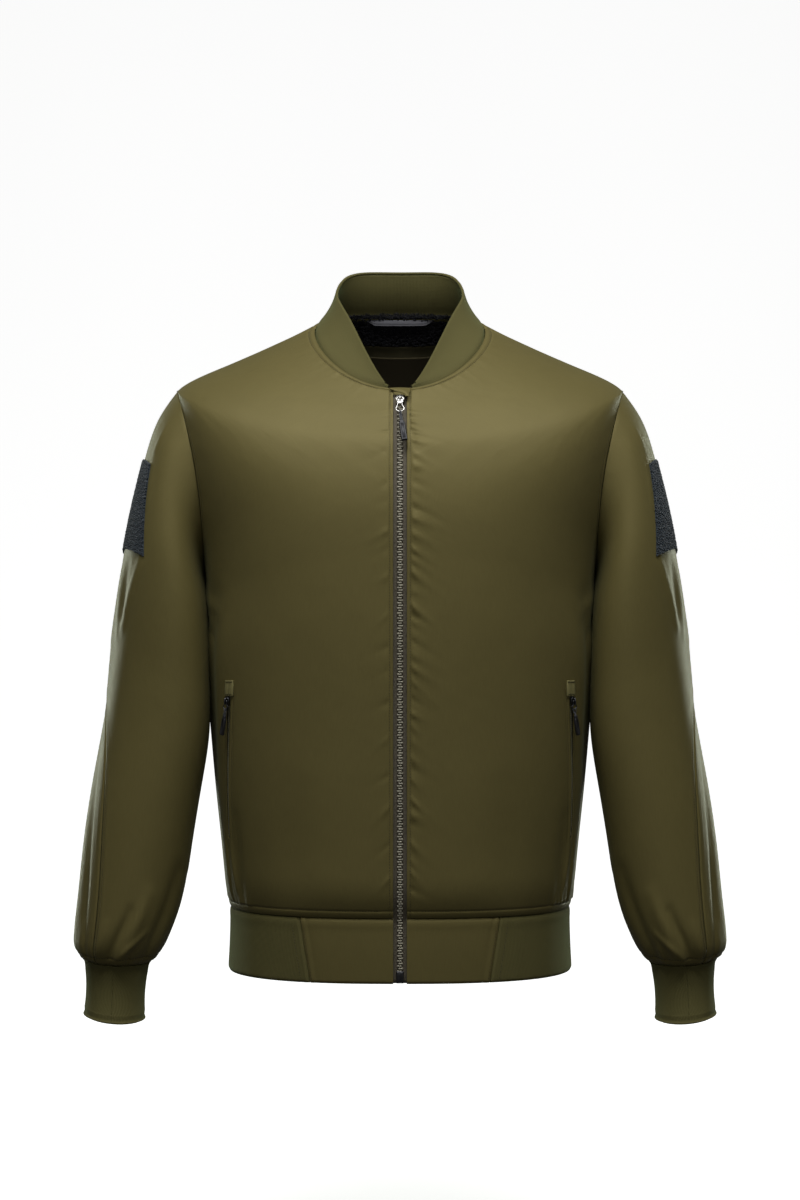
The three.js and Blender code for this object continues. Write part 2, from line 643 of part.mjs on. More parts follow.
/** The cell of a list of rising values that holds x, and how far along it x is. */
function cell(values, x) {
  let i = 0;
  while (i < values.length - 2 && x > values[i + 1]) i++;
  return [i, (x - values[i]) / (values[i + 1] - values[i])];
}

/** Both ends and every value of a rising list that lies well between them. */
function between(values, from, to) {
  const margin = 0.02 * (to - from);
  return [from, ...values.filter((v) => v > from + margin && v < to - margin), to];
}

/** The share of the front at which the pocket zip crosses a ring. */
function pocketShare(up) {
  const along = clamp01((POCKET_TOP_UP - up) / POCKET_LENGTH);
  return (lerp(POCKET_TOP_TURN, POCKET_BOTTOM_TURN, along) * RAD) / SIDE_SEAM_TURN;
}

/** The turn at which a ring of the fronts meets the zip. */
const zipShare = (up, x) => Math.asin(x / torsoRow(up).sideX) / torsoEdge(up, true).turn;

/** The share of the front for a column: the zip is at 0, the pocket zip at POCKET_COLUMN, the seam at 1. */
function frontShare(up, c) {
  const pocket = pocketShare(up);
  if (c < POCKET_COLUMN) return lerp(zipShare(up, ZIP_HALF_GAP), pocket, c / POCKET_COLUMN);
  return lerp(pocket, seamShare(up, true), (c - POCKET_COLUMN) / (1 - POCKET_COLUMN));
}

/** Left front, from the folded zip edge to the side seam, armhole and shoulder seam. */
const frontPanel = new Panel(
  torsoUps,
  spaced(0, 1, FRONT_COLUMNS),
  (up, c) => torsoPanel(up, frontShare(up, c), true),
  (up, c) => torsoWallNormal(up, frontShare(up, c), true),
);

/** Back, in one piece from one side seam to the other. */
const sided = (point, c) => (c < 0 ? point.multiply(vec(-1, 1, 1)) : point);
const backPanel = new Panel(
  torsoUps,
  spaced(-1, 1, BACK_COLUMNS),
  (up, c) => sided(torsoPanel(up, Math.abs(c) * seamShare(up, false), false), c),
  (up, c) => sided(torsoWallNormal(up, Math.abs(c) * seamShare(up, false), false), c),
);

// Sleeves
const SLEEVE_LIFT = 0.3; // the sleeve head stands this far proud of the body at the armhole seam
const SLEEVE_LIFT_END = 30;
const SLEEVE_START = 0.35;
const UNDERARM_SEAM = 270 * RAD;
const OUTER_SEAM_TURN = 130; // the outer seam runs straight down to its bend and then comes forward
const OUTER_SEAM_BEND = 210;
const OUTER_SEAM = [
  { down: 110, turn: OUTER_SEAM_TURN },
  { down: OUTER_SEAM_BEND, turn: OUTER_SEAM_TURN },
  { down: 270, turn: 118 },
  { down: 330, turn: 82 },
  { down: 400, turn: 62 },
  { down: 480, turn: 53 },
  { down: SLEEVE_END, turn: 46 },
];
const outerSeamRow = smoothTable(OUTER_SEAM, "down");
const outerSeam = (down) => (down <= OUTER_SEAM_BEND ? OUTER_SEAM_TURN : outerSeamRow(down).turn) * RAD;
const SLEEVE_HEAD = 60; // rows of the sleeve head end here
const CUFF_ROWS = [518, 538, 550, SLEEVE_END]; // rows close in where the sleeve is gathered into the cuff
const sleeveDowns = [
  ...spaced(0, SLEEVE_HEAD, 4),
  ...spaced(PATCH_BACK.top.down, PATCH_BACK.bottom.down, 4),
  ...spaced(PATCH_BACK.bottom.down + 30, 490, 9),
  ...CUFF_ROWS,
];
const SLEEVE_FRONT_COLUMNS = 11;

/** A point of the sleeve's outer face, kept clear of the body along the armhole seam. */
function sleeveOuter(down, turn) {
  const clear = 1 - smooth01(down / SLEEVE_LIFT_END);
  if (clear <= 0) return sleeveSurface(down, turn);
  const point = down > 0 ? sleeveSurface(down, turn) : armholePoint(turn);
  const outward = sleeveSurface(5, turn).sub(sleeveSurface(1, turn)).normalize();
  return point
    .addScaledVector(bodySeamNormal(turn), SLEEVE_LIFT * clear)
    .addScaledVector(outward, SLEEVE_START * clear);
}

/** The normal along which the sleeve's thickness runs, leaned to the body at the armhole. */
function sleeveWallNormal(down, turn) {
  if (down > 0) return sleeveNormal(clamp(down, 1, SLEEVE_END - 1), turn);
  return sharedNormal(sleeveSeamNormal(turn), bodySeamNormal(turn));
}

/** The middle of a ring of the sleeve. */
const sleeveCentre = (down) =>
  sleevePlain(down, 0).add(sleevePlain(down, Math.PI)).multiplyScalar(0.5);

/** One piece of the left sleeve, between two seams that are given as functions of the way down. */
function sleevePiece(columns, fromTurn, toTurn) {
  const half = (down) => SEAM_GAP / 2 / sleevePlain(down, fromTurn(down)).distanceTo(sleeveCentre(down));
  const turnAt = (down, c) => {
    const turn = lerp(fromTurn(down), toTurn(down), c);
    if (c === 0) return turn + half(down);
    return c === 1 ? turn - half(down) : turn;
  };
  return new Panel(
    sleeveDowns,
    columns,
    (down, c) => sleeveOuter(down, turnAt(down, c)),
    (down, c) => sleeveWallNormal(down, turnAt(down, c)),
  );
}

/** The front piece runs from the underarm seam round the front to the outer seam. */
const sleeveFrontPanel = sleevePiece(
  spaced(0, 1, SLEEVE_FRONT_COLUMNS),
  () => UNDERARM_SEAM - 2 * Math.PI,
  outerSeam,
);

/** The back piece runs from the outer seam round the back to the underarm seam. */
const SLEEVE_BACK_FINE = 4 / 7; // the columns stand closer up to this share, which shows from outside
const sleeveBackColumns = [...spaced(0, SLEEVE_BACK_FINE, 8), ...spaced(SLEEVE_BACK_FINE, 1, 3).slice(1)];
const sleeveBackPanel = sleevePiece(sleeveBackColumns, outerSeam, () => UNDERARM_SEAM);

/** Pile patch, laid level on the outside of the front piece of the upper sleeve. */
function patchGeometry() {
  const blend = (name, share, across) => {
    const top = lerp(PATCH_FRONT.top[name], PATCH_BACK.top[name], across);
    return lerp(top, lerp(PATCH_FRONT.bottom[name], PATCH_BACK.bottom[name], across), share);
  };
  const on = (place) => (share, across) => {
    const column = (blend("turn", share, across) + 90) / (OUTER_SEAM_TURN + 90);
    return place(blend("down", share, across), column);
  };
  return layWall(
    spaced(0, 1, PATCH_ROWS),
    spaced(0, 1, PATCH_COLUMNS),
    on((down, c) => sleeveFrontPanel.point(down, c)),
    on((down, c) => sleeveFrontPanel.normal(down, c)),
    2 * SEAM_GAP + PILE,
    PILE,
  );
}

// Cuffs
const CUFF_COLUMNS = 22;

/** A point of the left rib cuff: share 0 at the sleeve and 1 at its free edge. */
function cuffPoint(share, turn) {
  const waist = CUFF_WAIST_SHRINK * Math.sin(Math.PI * Math.min(1, share * 1.15)) ** 0.8;
  const halfX = CUFF_TOP.halfX - waist - CUFF_TAPER.x * share;
  const halfY = CUFF_TOP.halfY - waist - CUFF_TAPER.y * share;
  const s = Math.sin(turn);
  const c = Math.cos(turn);
  const tilt = (CUFF_OUTER_LIFT * share + CUFF_SEAM_TILT.outer) * s - CUFF_SEAM_TILT.front * c;
  return vec(
    CUFF_TOP.x + CUFF_END_SHIFT.x * share + halfX * s,
    CUFF_TOP.y + CUFF_END_SHIFT.y * share - halfY * c,
    CUFF_TOP.z + CUFF_END_SHIFT.z * share + tilt,
  );
}

/** Rib cuff: a tube whose free edge is a fold. */
function cuffGeometry() {
  const turns = spaced(0, 2 * Math.PI, CUFF_COLUMNS).slice(0, -1);
  return layWall(
    spaced(0.02, 1 - RIB / 2 / CUFF_HEIGHT, 3),
    turns,
    cuffPoint,
    (share, turn) => surfaceNormal(cuffPoint, share, turn, STEP, STEP, false),
    0,
    RIB,
    { tube: true, foldLast: true },
  );
}

// Hem band
/** A point of the hem band at a height and an angle from centre front. */
function hemPoint(z, turn) {
  const row = hemRow(z);
  const square = TORSO[0].square;
  const s = Math.sin(turn);
  const c = Math.cos(turn);
  const reach = (Math.abs(s) ** square + Math.abs(c) ** square) ** (-1 / square);
  const sideY = TORSO[0].sideY;
  const depth = c > 0 ? row.front + sideY : row.back - sideY;
  return vec(row.side * reach * s, sideY - depth * reach * c, z);
}
const hemNormal = (z, turn) => surfaceNormal(hemPoint, z, turn, STEP_MM, STEP, true);

/** The angle at which the hem band is a given distance from the centre front. */
function hemTurn(z, x) {
  let low = 0;
  let high = Math.PI / 2;
  for (let i = 0; i < 40; i++) {
    const middle = (low + high) / 2;
    if (hemPoint(z, middle).x < x) low = middle;
    else high = middle;
  }
  return low;
}

const hemZs = spaced(HEM_BOTTOM_Z + RIB / 2, HEM[0].z - SEAM_GAP, 3);
const HEM_FALL = HEM[0].z - HEM_BOTTOM_Z; // height of the hem band below the waist seam

/** Where the slanting seam of the hem crosses a height. */
const hemSeamX = (z) => lerp(HEM_FRONT_BOTTOM_X, HEM_FRONT_TOP_X, (z - HEM_BOTTOM_Z) / HEM_FALL);

/** Rib part of the hem band, from one slanting seam round the back to the other. */
function hemRibGeometry() {
  const turnAt = (z, c) => {
    const start = hemTurn(z, hemSeamX(z) + SEAM_GAP / 2);
    return lerp(start, 2 * Math.PI - start, c);
  };
  return layWall(
    hemZs,
    spaced(0, 1, 32),
    (z, c) => hemPoint(z, turnAt(z, c)),
    (z, c) => hemNormal(z, turnAt(z, c)),
    0,
    RIB,
    { foldFirst: true },
  );
}

/** Shell cloth part of the hem band on the left, from the zip to the slanting seam. */
function hemFrontGeometry() {
  const turnAt = (z, c) => lerp(hemTurn(z, ZIP_HALF_GAP), hemTurn(z, hemSeamX(z) - SEAM_GAP / 2), c);
  return layWall(
    hemZs,
    spaced(0, 1, 5),
    (z, c) => hemPoint(z, turnAt(z, c)),
    (z, c) => hemNormal(z, turnAt(z, c)),
    0,
    RIB,
    { foldFirst: true },
  );
}

// Collar
/** A point of the rib collar: share 0 at the neck seam and 1 at its free edge, turn from centre front. */
function collarPoint(share, turn) {
  const folded = turn > Math.PI ? 2 * Math.PI - turn : turn;
  const side = turn > Math.PI ? -1 : 1;
  const row = collarRow(folded / RAD);
  const seam = torsoRing(NECK_UP, folded);
  const hollow = COLLAR_FLARE * Math.sin(Math.PI * share) * clamp01(row.height / 40);
  const inward = vec(-Math.sin(folded), Math.cos(folded), 0);
  const point = seam
    .add(vec(-row.inX * share, row.edgeY * share, row.rise * share))
    .addScaledVector(inward, hollow);
  return vec(side * point.x, point.y, point.z);
}

/** Rib collar, open at the front, its free edge a fold. */
function collarGeometry() {
  const start = Math.asin(COLLAR_START_X / TORSO[TORSO.length - 1].sideX);
  const startShare = (turn) => {
    const folded = turn > Math.PI ? 2 * Math.PI - turn : turn;
    return (1.6 * SEAM_GAP) / collarRow(folded / RAD).height;
  };
  return layWall(
    spaced(0, 1, 4),
    spaced(start, 2 * Math.PI - start, 34),
    (c, turn) => collarPoint(lerp(startShare(turn), 1, c), turn),
    (c, turn) => surfaceNormal(collarPoint, lerp(startShare(turn), 1, c), turn, STEP, STEP, true),
    0,
    RIB,
    { foldLast: true },
  );
}

// Centre front zip
/** A point at the centre front at a height of the fronts or the hem, `x` from the centre line. */
function centreFront(up, x) {
  if (up >= WAIST_UP) return torsoPlain(up, zipShare(up, Math.abs(x)), true).setX(x);
  const z = HEM[0].z + up;
  return hemPoint(z, hemTurn(z, Math.abs(x))).setX(x);
}

/** The outward normal at the centre front. */
function centreFrontNormal(up) {
  const reach = 3;
  const higher = centreFront(up + reach, 0);
  const lower = centreFront(up - reach, 0);
  return vec(0, lower.z - higher.z, higher.y - lower.y).normalize();
}

const CENTRE_START = 6; // the zip starts this far above the hem's edge
const centreUps = (top) => [
  ...spaced(-HEM_FALL + CENTRE_START, 0, 2),
  ...spaced(18, 300, 6),
  ...spaced(UNDERARM_UP, SHOULDER_UP - 10, 4),
  ...spaced(SHOULDER_UP + 15, top, 5),
];
const zipUps = centreUps(ZIP_TOP_UP);

/** A strip that runs down the centre front between two distances from the centre line. */
function centreStrip(ups, fromX, toX, columns, outset, thickness) {
  return layWall(
    ups,
    spaced(fromX, toX, columns),
    (up, x) => centreFront(up, x),
    (up) => centreFrontNormal(up),
    outset,
    thickness,
  );
}

const TAPE_OUTSET = -(RIB + SEAM_GAP); // behind the hem band, which is the thickest piece that it passes
const zipTapeGeometry = () =>
  centreStrip(zipUps, SEAM_GAP / 2, ZIP_TAPE_HALF, 1, TAPE_OUTSET, TAPE);
const TEETH_OUTSET = TAPE_OUTSET + SEAM_GAP + ZIP_TEETH_HEIGHT;
const zipTeethGeometry = () =>
  centreStrip(zipUps, -ZIP_TEETH_HALF, ZIP_TEETH_HALF, 1, TEETH_OUTSET, ZIP_TEETH_HEIGHT);
const placketGeometry = () =>
  centreStrip(
    centreUps(NECK_UP - 2),
    -PLACKET_HALF,
    PLACKET_HALF,
    4,
    TAPE_OUTSET - TAPE - SEAM_GAP,
    SHELL,
  );

// Small solids
/** An extruded outline, laid in the XZ plane and facing -Y, its back at y 0. */
function plate(shape, depth) {
  const geometry = new THREE.ExtrudeGeometry(shape, { depth, bevelEnabled: false, curveSegments: 3 });
  return geometry.rotateX(Math.PI / 2);
}

/** A rounded rectangle centred on the origin. */
function roundedRect(width, height, radius, ShapeKind = THREE.Shape) {
  const w = width / 2;
  const h = height / 2;
  const shape = new ShapeKind();
  shape.moveTo(-w + radius, -h);
  shape.lineTo(w - radius, -h);
  shape.absarc(w - radius, -h + radius, radius, -Math.PI / 2, 0, false);
  shape.lineTo(w, h - radius);
  shape.absarc(w - radius, h - radius, radius, 0, Math.PI / 2, false);
  shape.lineTo(-w + radius, h);
  shape.absarc(-w + radius, h - radius, radius, Math.PI / 2, Math.PI, false);
  shape.lineTo(-w, -h + radius);
  shape.absarc(-w + radius, -h + radius, radius, Math.PI, 1.5 * Math.PI, false);
  return shape;
}

/** A geometry as a solid of the boolean library. */
function solidOf(geometry) {
  const bare = new THREE.BufferGeometry().setAttribute("position", geometry.getAttribute("position"));
  if (geometry.index) bare.setIndex(geometry.index);
  const merged = mergeVertices(bare, 1e-3);
  return new wasm.Manifold(
    new wasm.Mesh({
      numProp: 3,
      vertProperties: new Float32Array(merged.getAttribute("position").array),
      triVerts: new Uint32Array(merged.index.array),
    }),
  );
}

/** A solid of the boolean library as a geometry. */
function geometryOf(solid) {
  const mesh = solid.getMesh();
  const position = new THREE.Float32BufferAttribute(Array.from(mesh.vertProperties), 3);
  const geometry = new THREE.BufferGeometry().setAttribute("position", position);
  geometry.setIndex(Array.from(mesh.triVerts));
  return geometry;
}

const joined = (...parts) => geometryOf(parts.map(solidOf).reduce((all, part) => all.add(part)));
const cutFrom = (whole, tool) => geometryOf(solidOf(whole).subtract(solidOf(tool)));
const box = (w, d, h, x, y, z) => new THREE.BoxGeometry(w, d, h).translate(x, y, z);

/** A matrix that stands a small solid on a surface: its -Y along the normal and its +Z along `upward`. */
function placed(point, normal, upward) {
  const back = normal.clone().multiplyScalar(-1);
  const z = upward.clone().addScaledVector(back, -upward.dot(back)).normalize();
  const x = back.clone().cross(z).normalize();
  return new THREE.Matrix4().makeBasis(x, back, z).setPosition(point);
}

// Slider, seen from the front: a waisted plate with a bridge that holds the pull
const SLIDER_CORNER = 2.4;
const SLIDER_NOTCH = 1.5; // radius of the notch between its two channels
const SUNK = 0.2; // how far joined shapes run into each other
const BRIDGE = { width: 2.2, thick: 1.1, rise: 2.6, length: 6.5 };
const BAIL_WIRE = 0.75; // radius of the wire that hangs from the bridge
const BAIL_GAP = 0.35;

/** Slider body with its back at y 0, centred at the origin. `scale` sizes it for the pocket zips. */
function sliderGeometry(scale) {
  const { width, length, height } = SLIDER;
  const body = plate(roundedRect(width, length, SLIDER_CORNER), height);
  const notch = new THREE.CylinderGeometry(SLIDER_NOTCH, SLIDER_NOTCH, height * 3, 8);
  const waisted = cutFrom(body, notch.translate(0, 0, length / 2 + SUNK));
  const y = -height - BRIDGE.rise / 2 + SUNK;
  const leg = (z) => box(BRIDGE.width, BRIDGE.rise, BRIDGE.thick, 0, y, z);
  const top = box(BRIDGE.width, BRIDGE.thick, BRIDGE.length, 0, -height - BRIDGE.rise, 0);
  const reach = (BRIDGE.length - BRIDGE.thick) / 2;
  return joined(waisted, leg(reach), leg(-reach), top).scale(scale, scale, scale);
}

const BAIL = { shoulder: 0.45, belly: 0.82, bulge: 1.4 }; // where the wire bends out, down its length
const CORD = { width: 2.4, depth: 2.2 };
const GRIP = { depth: 3.2, corner: 0.32 }; // the corner is a share of its width

/** Pull: a wire bail round the bridge, a short cord and a moulded grip. Its hinge line is the X axis. */
function pullGeometry({ scale, bailLength, cordLength, gripLength, gripWidth, lean }) {
  const wire = BAIL_WIRE * scale;
  const halfTop = (BRIDGE.width / 2) * scale + wire + BAIL_GAP;
  const points = [
    vec(-halfTop, 0, 0),
    vec(-halfTop, 0, -bailLength * BAIL.shoulder),
    vec(-halfTop - BAIL.bulge, 0, -bailLength * BAIL.belly),
    vec(0, 0, -bailLength),
    vec(halfTop + BAIL.bulge, 0, -bailLength * BAIL.belly),
    vec(halfTop, 0, -bailLength * BAIL.shoulder),
    vec(halfTop, 0, 0),
  ];
  const section = new THREE.Shape().absarc(0, 0, wire, 0, 2 * Math.PI, false);
  const loop = new THREE.ExtrudeGeometry(section, {
    steps: 14,
    curveSegments: 3,
    bevelEnabled: false,
    extrudePath: new THREE.CatmullRomCurve3(points),
  });
  const pin = new THREE.CylinderGeometry(wire, wire, 2 * halfTop + 2 * wire, 8).rotateZ(Math.PI / 2);
  const cord = box(CORD.width, CORD.depth, cordLength + 2.5, 0, 0, -bailLength - cordLength / 2 + 1.2);
  const grip = plate(roundedRect(gripWidth, gripLength, gripWidth * GRIP.corner), GRIP.depth)
    .translate(0, GRIP.depth / 2, -bailLength - cordLength - gripLength / 2);
  const soft = joined(cord, grip);
  soft.translate(0, 0, bailLength).rotateY(lean * RAD).translate(0, 0, -bailLength);
  return joined(loop, pin, soft);
}

/** A frame on the left front: point, normal and the direction that runs up the column. */
function frontFrame(up, c) {
  const upward = frontPanel.point(up + 2, c).sub(frontPanel.point(up - 2, c)).normalize();
  return { point: frontPanel.point(up, c), normal: frontPanel.normal(up, c), upward };
}

// Pocket zips, on the left front
/** A strip along the pocket zip between two distances across it. */
function pocketStrip(bottomUp, topUp, across, outset, thickness) {
  const step = frontPanel.columns[1];
  const widthAt = (up) =>
    frontPanel.point(up, POCKET_COLUMN).distanceTo(frontPanel.point(up, POCKET_COLUMN + step)) / step;
  const columnAt = (up, x) => POCKET_COLUMN + x / widthAt(up);
  return frontPanel.layer(bottomUp, topUp, across, outset, thickness, columnAt);
}

const POCKET_BOTTOM_UP = POCKET_TOP_UP - POCKET_LENGTH;
const SLIT_CUTTER = { outset: 4, thickness: 8 };
const pocketSlit = () =>
  pocketStrip(
    POCKET_BOTTOM_UP,
    POCKET_TOP_UP - 4,
    [-POCKET_HALF_GAP, 0, POCKET_HALF_GAP],
    SLIT_CUTTER.outset,
    SLIT_CUTTER.thickness,
  );
const pocketTapeGeometry = () =>
  pocketStrip(
    POCKET_BOTTOM_UP - 6,
    POCKET_TOP_UP,
    [-POCKET_TAPE_HALF, 0, POCKET_TAPE_HALF],
    -(SHELL + SEAM_GAP),
    TAPE,
  );
const POCKET_TEETH_HEIGHT = 1.7;
const pocketTeethGeometry = () =>
  pocketStrip(
    POCKET_BOTTOM_UP + 1,
    POCKET_TOP_UP - 6,
    [-POCKET_TEETH_HALF, 0, POCKET_TEETH_HALF],
    -SHELL + POCKET_TEETH_HEIGHT,
    POCKET_TEETH_HEIGHT,
  );

/** Folded tab that is bar-tacked over the top end of the pocket zip. */
function pocketTabGeometry() {
  const half = POCKET_TAB.width / 2;
  const top = POCKET_TOP_UP + 5;
  const outset = SEAM_GAP + POCKET_TAB.thickness;
  return pocketStrip(top - POCKET_TAB.length, top, [-half, 0, half], outset, POCKET_TAB.thickness);
}

// Inside of the back neck, which shows through the open collar
const LINING_OUTSET = -(SHELL + SEAM_GAP);

/** A band on the inside of the back between two rings, `reach` of the back's width to either side. */
const backLayer = (fromUp, toUp, reach, outset, thickness) =>
  backPanel.layer(fromUp, toUp, between(backPanel.columns, -reach, reach), outset, thickness);

// Rings between which each layer lies, and how much of the back's width it takes
const LINING = {
  fleece: { from: 574.2, reach: 0.75 },
  facing: { from: 496, to: 573.8, reach: 0.625 },
  label: { from: 522, to: 563, reach: 0.25 },
};
const fleeceGeometry = () =>
  backLayer(LINING.fleece.from, NECK_UP - SEAM_GAP / 2, LINING.fleece.reach, LINING_OUTSET, FLEECE);
const facingGeometry = () =>
  backLayer(LINING.facing.from, LINING.facing.to, LINING.facing.reach, LINING_OUTSET, SHELL);
const labelGeometry = () =>
  backLayer(LINING.label.from, LINING.label.to, LINING.label.reach, LINING_OUTSET - SHELL - SEAM_GAP, TAPE);

/** Hanging loop: a tape across the fleece, a little slack in the middle. */
const LOOP = { reach: 0.33, topUp: 598, width: 6.5, slack: 3, drop: 0.6, standOff: 0.7 };
function hangerLoopGeometry() {
  const slack = (c) => LOOP.slack * (1 - (c / LOOP.reach) ** 2);
  const depth = LINING_OUTSET - FLEECE - SEAM_GAP;
  const upAt = (r, c) => LOOP.topUp - r * LOOP.width - slack(c) * LOOP.drop;
  const outsetAt = (c) => depth - slack(c) * LOOP.standOff;
  const normalAt = (r, c) => backPanel.normal(upAt(r, c), c);
  return layWall(
    [0, 1],
    between(backPanel.columns, -LOOP.reach, LOOP.reach),
    (r, c) => backPanel.point(upAt(r, c), c).addScaledVector(normalAt(r, c), outsetAt(c)),
    normalAt,
    0,
    TAPE,
  );
}

// Zip garage: a folded corner of the wind flap that covers the top of the zip
const GARAGE = { topHalf: 10.6, height: 14, tipX: 6.6, tipHalf: 1.6, thickness: 1.4, lean: 16 };
function garageGeometry() {
  const shape = new THREE.Shape();
  shape.moveTo(-GARAGE.topHalf, 0);
  shape.lineTo(GARAGE.topHalf, 0);
  shape.lineTo(GARAGE.tipX + GARAGE.tipHalf, -GARAGE.height);
  shape.lineTo(GARAGE.tipX - GARAGE.tipHalf, -GARAGE.height);
  shape.quadraticCurveTo(1.5, -GARAGE.height * 0.5, -GARAGE.topHalf, -2.2);
  return plate(shape, GARAGE.thickness);
}

// Assembly
const jacket = new THREE.Group();
jacket.name = "bomber_jacket";

/** Adds a named mesh to the jacket. */
function addPiece(name, geometry, material) {
  const mesh = new THREE.Mesh(geometry, material);
  mesh.name = name;
  jacket.add(mesh);
  return mesh;
}

/** Adds a left piece and its mirror image. */
function addPair(name, geometry, material) {
  addPiece(`${name}_left`, geometry, material);
  addPiece(`${name}_right`, mirrored(geometry), material);
}

addPiece("back", backPanel.wall(SHELL), OLIVE);
addPair("front", cutFrom(frontPanel.wall(SHELL), pocketSlit()), OLIVE);
addPair("sleeve_front", sleeveFrontPanel.wall(SHELL), OLIVE);
addPair("sleeve_back", sleeveBackPanel.wall(SHELL), OLIVE);
addPair("pile_patch", patchGeometry(), NAVY_PILE);
addPair("cuff", cuffGeometry(), OLIVE_RIB);
addPiece("hem_rib", hemRibGeometry(), OLIVE_RIB);
addPair("hem_front", hemFrontGeometry(), OLIVE);
addPiece("collar", collarGeometry(), OLIVE_RIB);
addPair("zip_tape", zipTapeGeometry(), TAUPE_TAPE);
addPiece("zip_teeth", zipTeethGeometry(), ZIP_TEETH);
addPiece("wind_flap", placketGeometry(), OLIVE);
addPair("pocket_tape", pocketTapeGeometry(), TAUPE_TAPE);
addPair("pocket_teeth", pocketTeethGeometry(), ZIP_TEETH);
addPair("pocket_tab", pocketTabGeometry(), OLIVE);
addPiece("neck_fleece", fleeceGeometry(), BLACK_FLEECE);
addPiece("neck_facing", facingGeometry(), DARK_OLIVE);
addPiece("neck_label", labelGeometry(), DARK_OLIVE);
addPiece("hanger_loop", hangerLoopGeometry(), GREY_TAPE);

// Zip hardware
const hingeHeight = SLIDER.height + (BRIDGE.rise - BRIDGE.thick / 2) / 2; // slider's back to hinge line
const hingeRise = 1.2; // the hinge line is this far above the slider's middle
const SLIDER_UP = ZIP_TOP_UP - 16;
const sliderFrame = placed(
  centreFront(SLIDER_UP, 0).addScaledVector(centreFrontNormal(SLIDER_UP), TEETH_OUTSET + SEAM_GAP),
  centreFrontNormal(SLIDER_UP),
  vec(0, 0, 1),
);
addPiece("zip_slider", sliderGeometry(1).applyMatrix4(sliderFrame), NICKEL);
const ZIP_PULL = { scale: 1, bailLength: 18, cordLength: 12, gripLength: 24, gripWidth: 5.8, lean: -7 };
const zipPull = pullGeometry(ZIP_PULL).translate(0, -hingeHeight, hingeRise).applyMatrix4(sliderFrame);
addPiece("zip_pull", zipPull, BLACK_RUBBER);

const garageFrame = placed(
  centreFront(NECK_UP - 1, 0).addScaledVector(centreFrontNormal(NECK_UP - 4), 0.5),
  centreFrontNormal(NECK_UP - 4),
  vec(0, 0, 1),
);
addPiece("zip_garage", garageGeometry().rotateX(-GARAGE.lean * RAD).applyMatrix4(garageFrame), OLIVE);

const STOP = { width: 7.2, height: 12, depth: 3.4, corner: 1.6 };
const stopUp = -HEM_FALL + 7;
const stopFrame = placed(
  centreFront(stopUp, 0).addScaledVector(centreFrontNormal(stopUp), TEETH_OUTSET + SEAM_GAP),
  centreFrontNormal(stopUp),
  vec(0, 0, 1),
);
const stopOutline = roundedRect(STOP.width, STOP.height, STOP.corner);
addPiece("zip_stop", plate(stopOutline, STOP.depth).applyMatrix4(stopFrame), GUNMETAL);

const pocketUp = POCKET_TOP_UP - 15;
const pocketFrame = frontFrame(pocketUp, POCKET_COLUMN);
const pocketMatrix = placed(
  pocketFrame.point.clone().addScaledVector(pocketFrame.normal, 1),
  pocketFrame.normal,
  pocketFrame.upward,
);
const POCKET_PULL = {
  scale: 0.85,
  bailLength: 8.5,
  cordLength: 7,
  gripLength: 19,
  gripWidth: 4.8,
  lean: -14,
};
addPair("pocket_slider", sliderGeometry(POCKET_PULL.scale).applyMatrix4(pocketMatrix), GUNMETAL);
const pocketHinge = vec(0, -hingeHeight, hingeRise)
  .multiplyScalar(POCKET_PULL.scale)
  .applyMatrix4(pocketMatrix);
const pocketPullFrame = placed(pocketHinge, pocketFrame.normal.clone().setZ(0).normalize(), vec(0, 0, 1));
addPair("pocket_pull", pullGeometry(POCKET_PULL).applyMatrix4(pocketPullFrame), BLACK_RUBBER);

export default jacket;
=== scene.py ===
"""Bomber jacket in smooth olive nylon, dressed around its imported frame.

Sizes are in millimetres and angles in degrees, as in the part's own source, and meshes are in metres.
"""

import logging
import math
import random
from collections.abc import Callable, Sequence
from dataclasses import dataclass, field
from enum import Enum

import bmesh
import bpy
import numpy as np
from mathutils import Matrix, Vector
from mathutils.kdtree import KDTree


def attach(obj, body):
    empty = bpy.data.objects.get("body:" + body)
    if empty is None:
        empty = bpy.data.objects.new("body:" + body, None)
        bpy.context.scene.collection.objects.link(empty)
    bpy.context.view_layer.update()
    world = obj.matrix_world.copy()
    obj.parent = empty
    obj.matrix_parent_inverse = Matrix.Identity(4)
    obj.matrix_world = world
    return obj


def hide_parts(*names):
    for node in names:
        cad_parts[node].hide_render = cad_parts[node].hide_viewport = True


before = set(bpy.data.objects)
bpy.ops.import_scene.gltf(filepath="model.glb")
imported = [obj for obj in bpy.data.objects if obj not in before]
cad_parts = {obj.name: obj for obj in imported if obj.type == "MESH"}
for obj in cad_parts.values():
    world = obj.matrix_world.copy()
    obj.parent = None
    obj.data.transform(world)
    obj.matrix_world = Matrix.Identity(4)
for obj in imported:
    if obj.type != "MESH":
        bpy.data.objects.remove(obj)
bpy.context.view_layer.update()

LOG = logging.getLogger("jacket")
MM = 0.001
RAD = math.pi / 180
BODY = "jacket"

Array = np.ndarray
Pair = tuple[float, float]
Triple = tuple[float, float, float]
Piece = bpy.types.Object
Mesh = bpy.types.Mesh
Bmesh = bmesh.types.BMesh
Material = bpy.types.Material
Socket = bpy.types.NodeSocket

# Walls of the nylon, of the rib knit folded double, and of the woven tapes
SHELL = 1.2
RIB = 2.6
TAPE = 0.9

# How far each row of topstitching lies from its seam, edge or zip
SEAM_STITCH = 5.0
WAIST_STITCH = 7.5
NECK_STITCH = 5.5
ZIP_STITCH = 3.2
POCKET_STITCH = 5.4
CUFF_STITCHES = (2.5, 7.5)

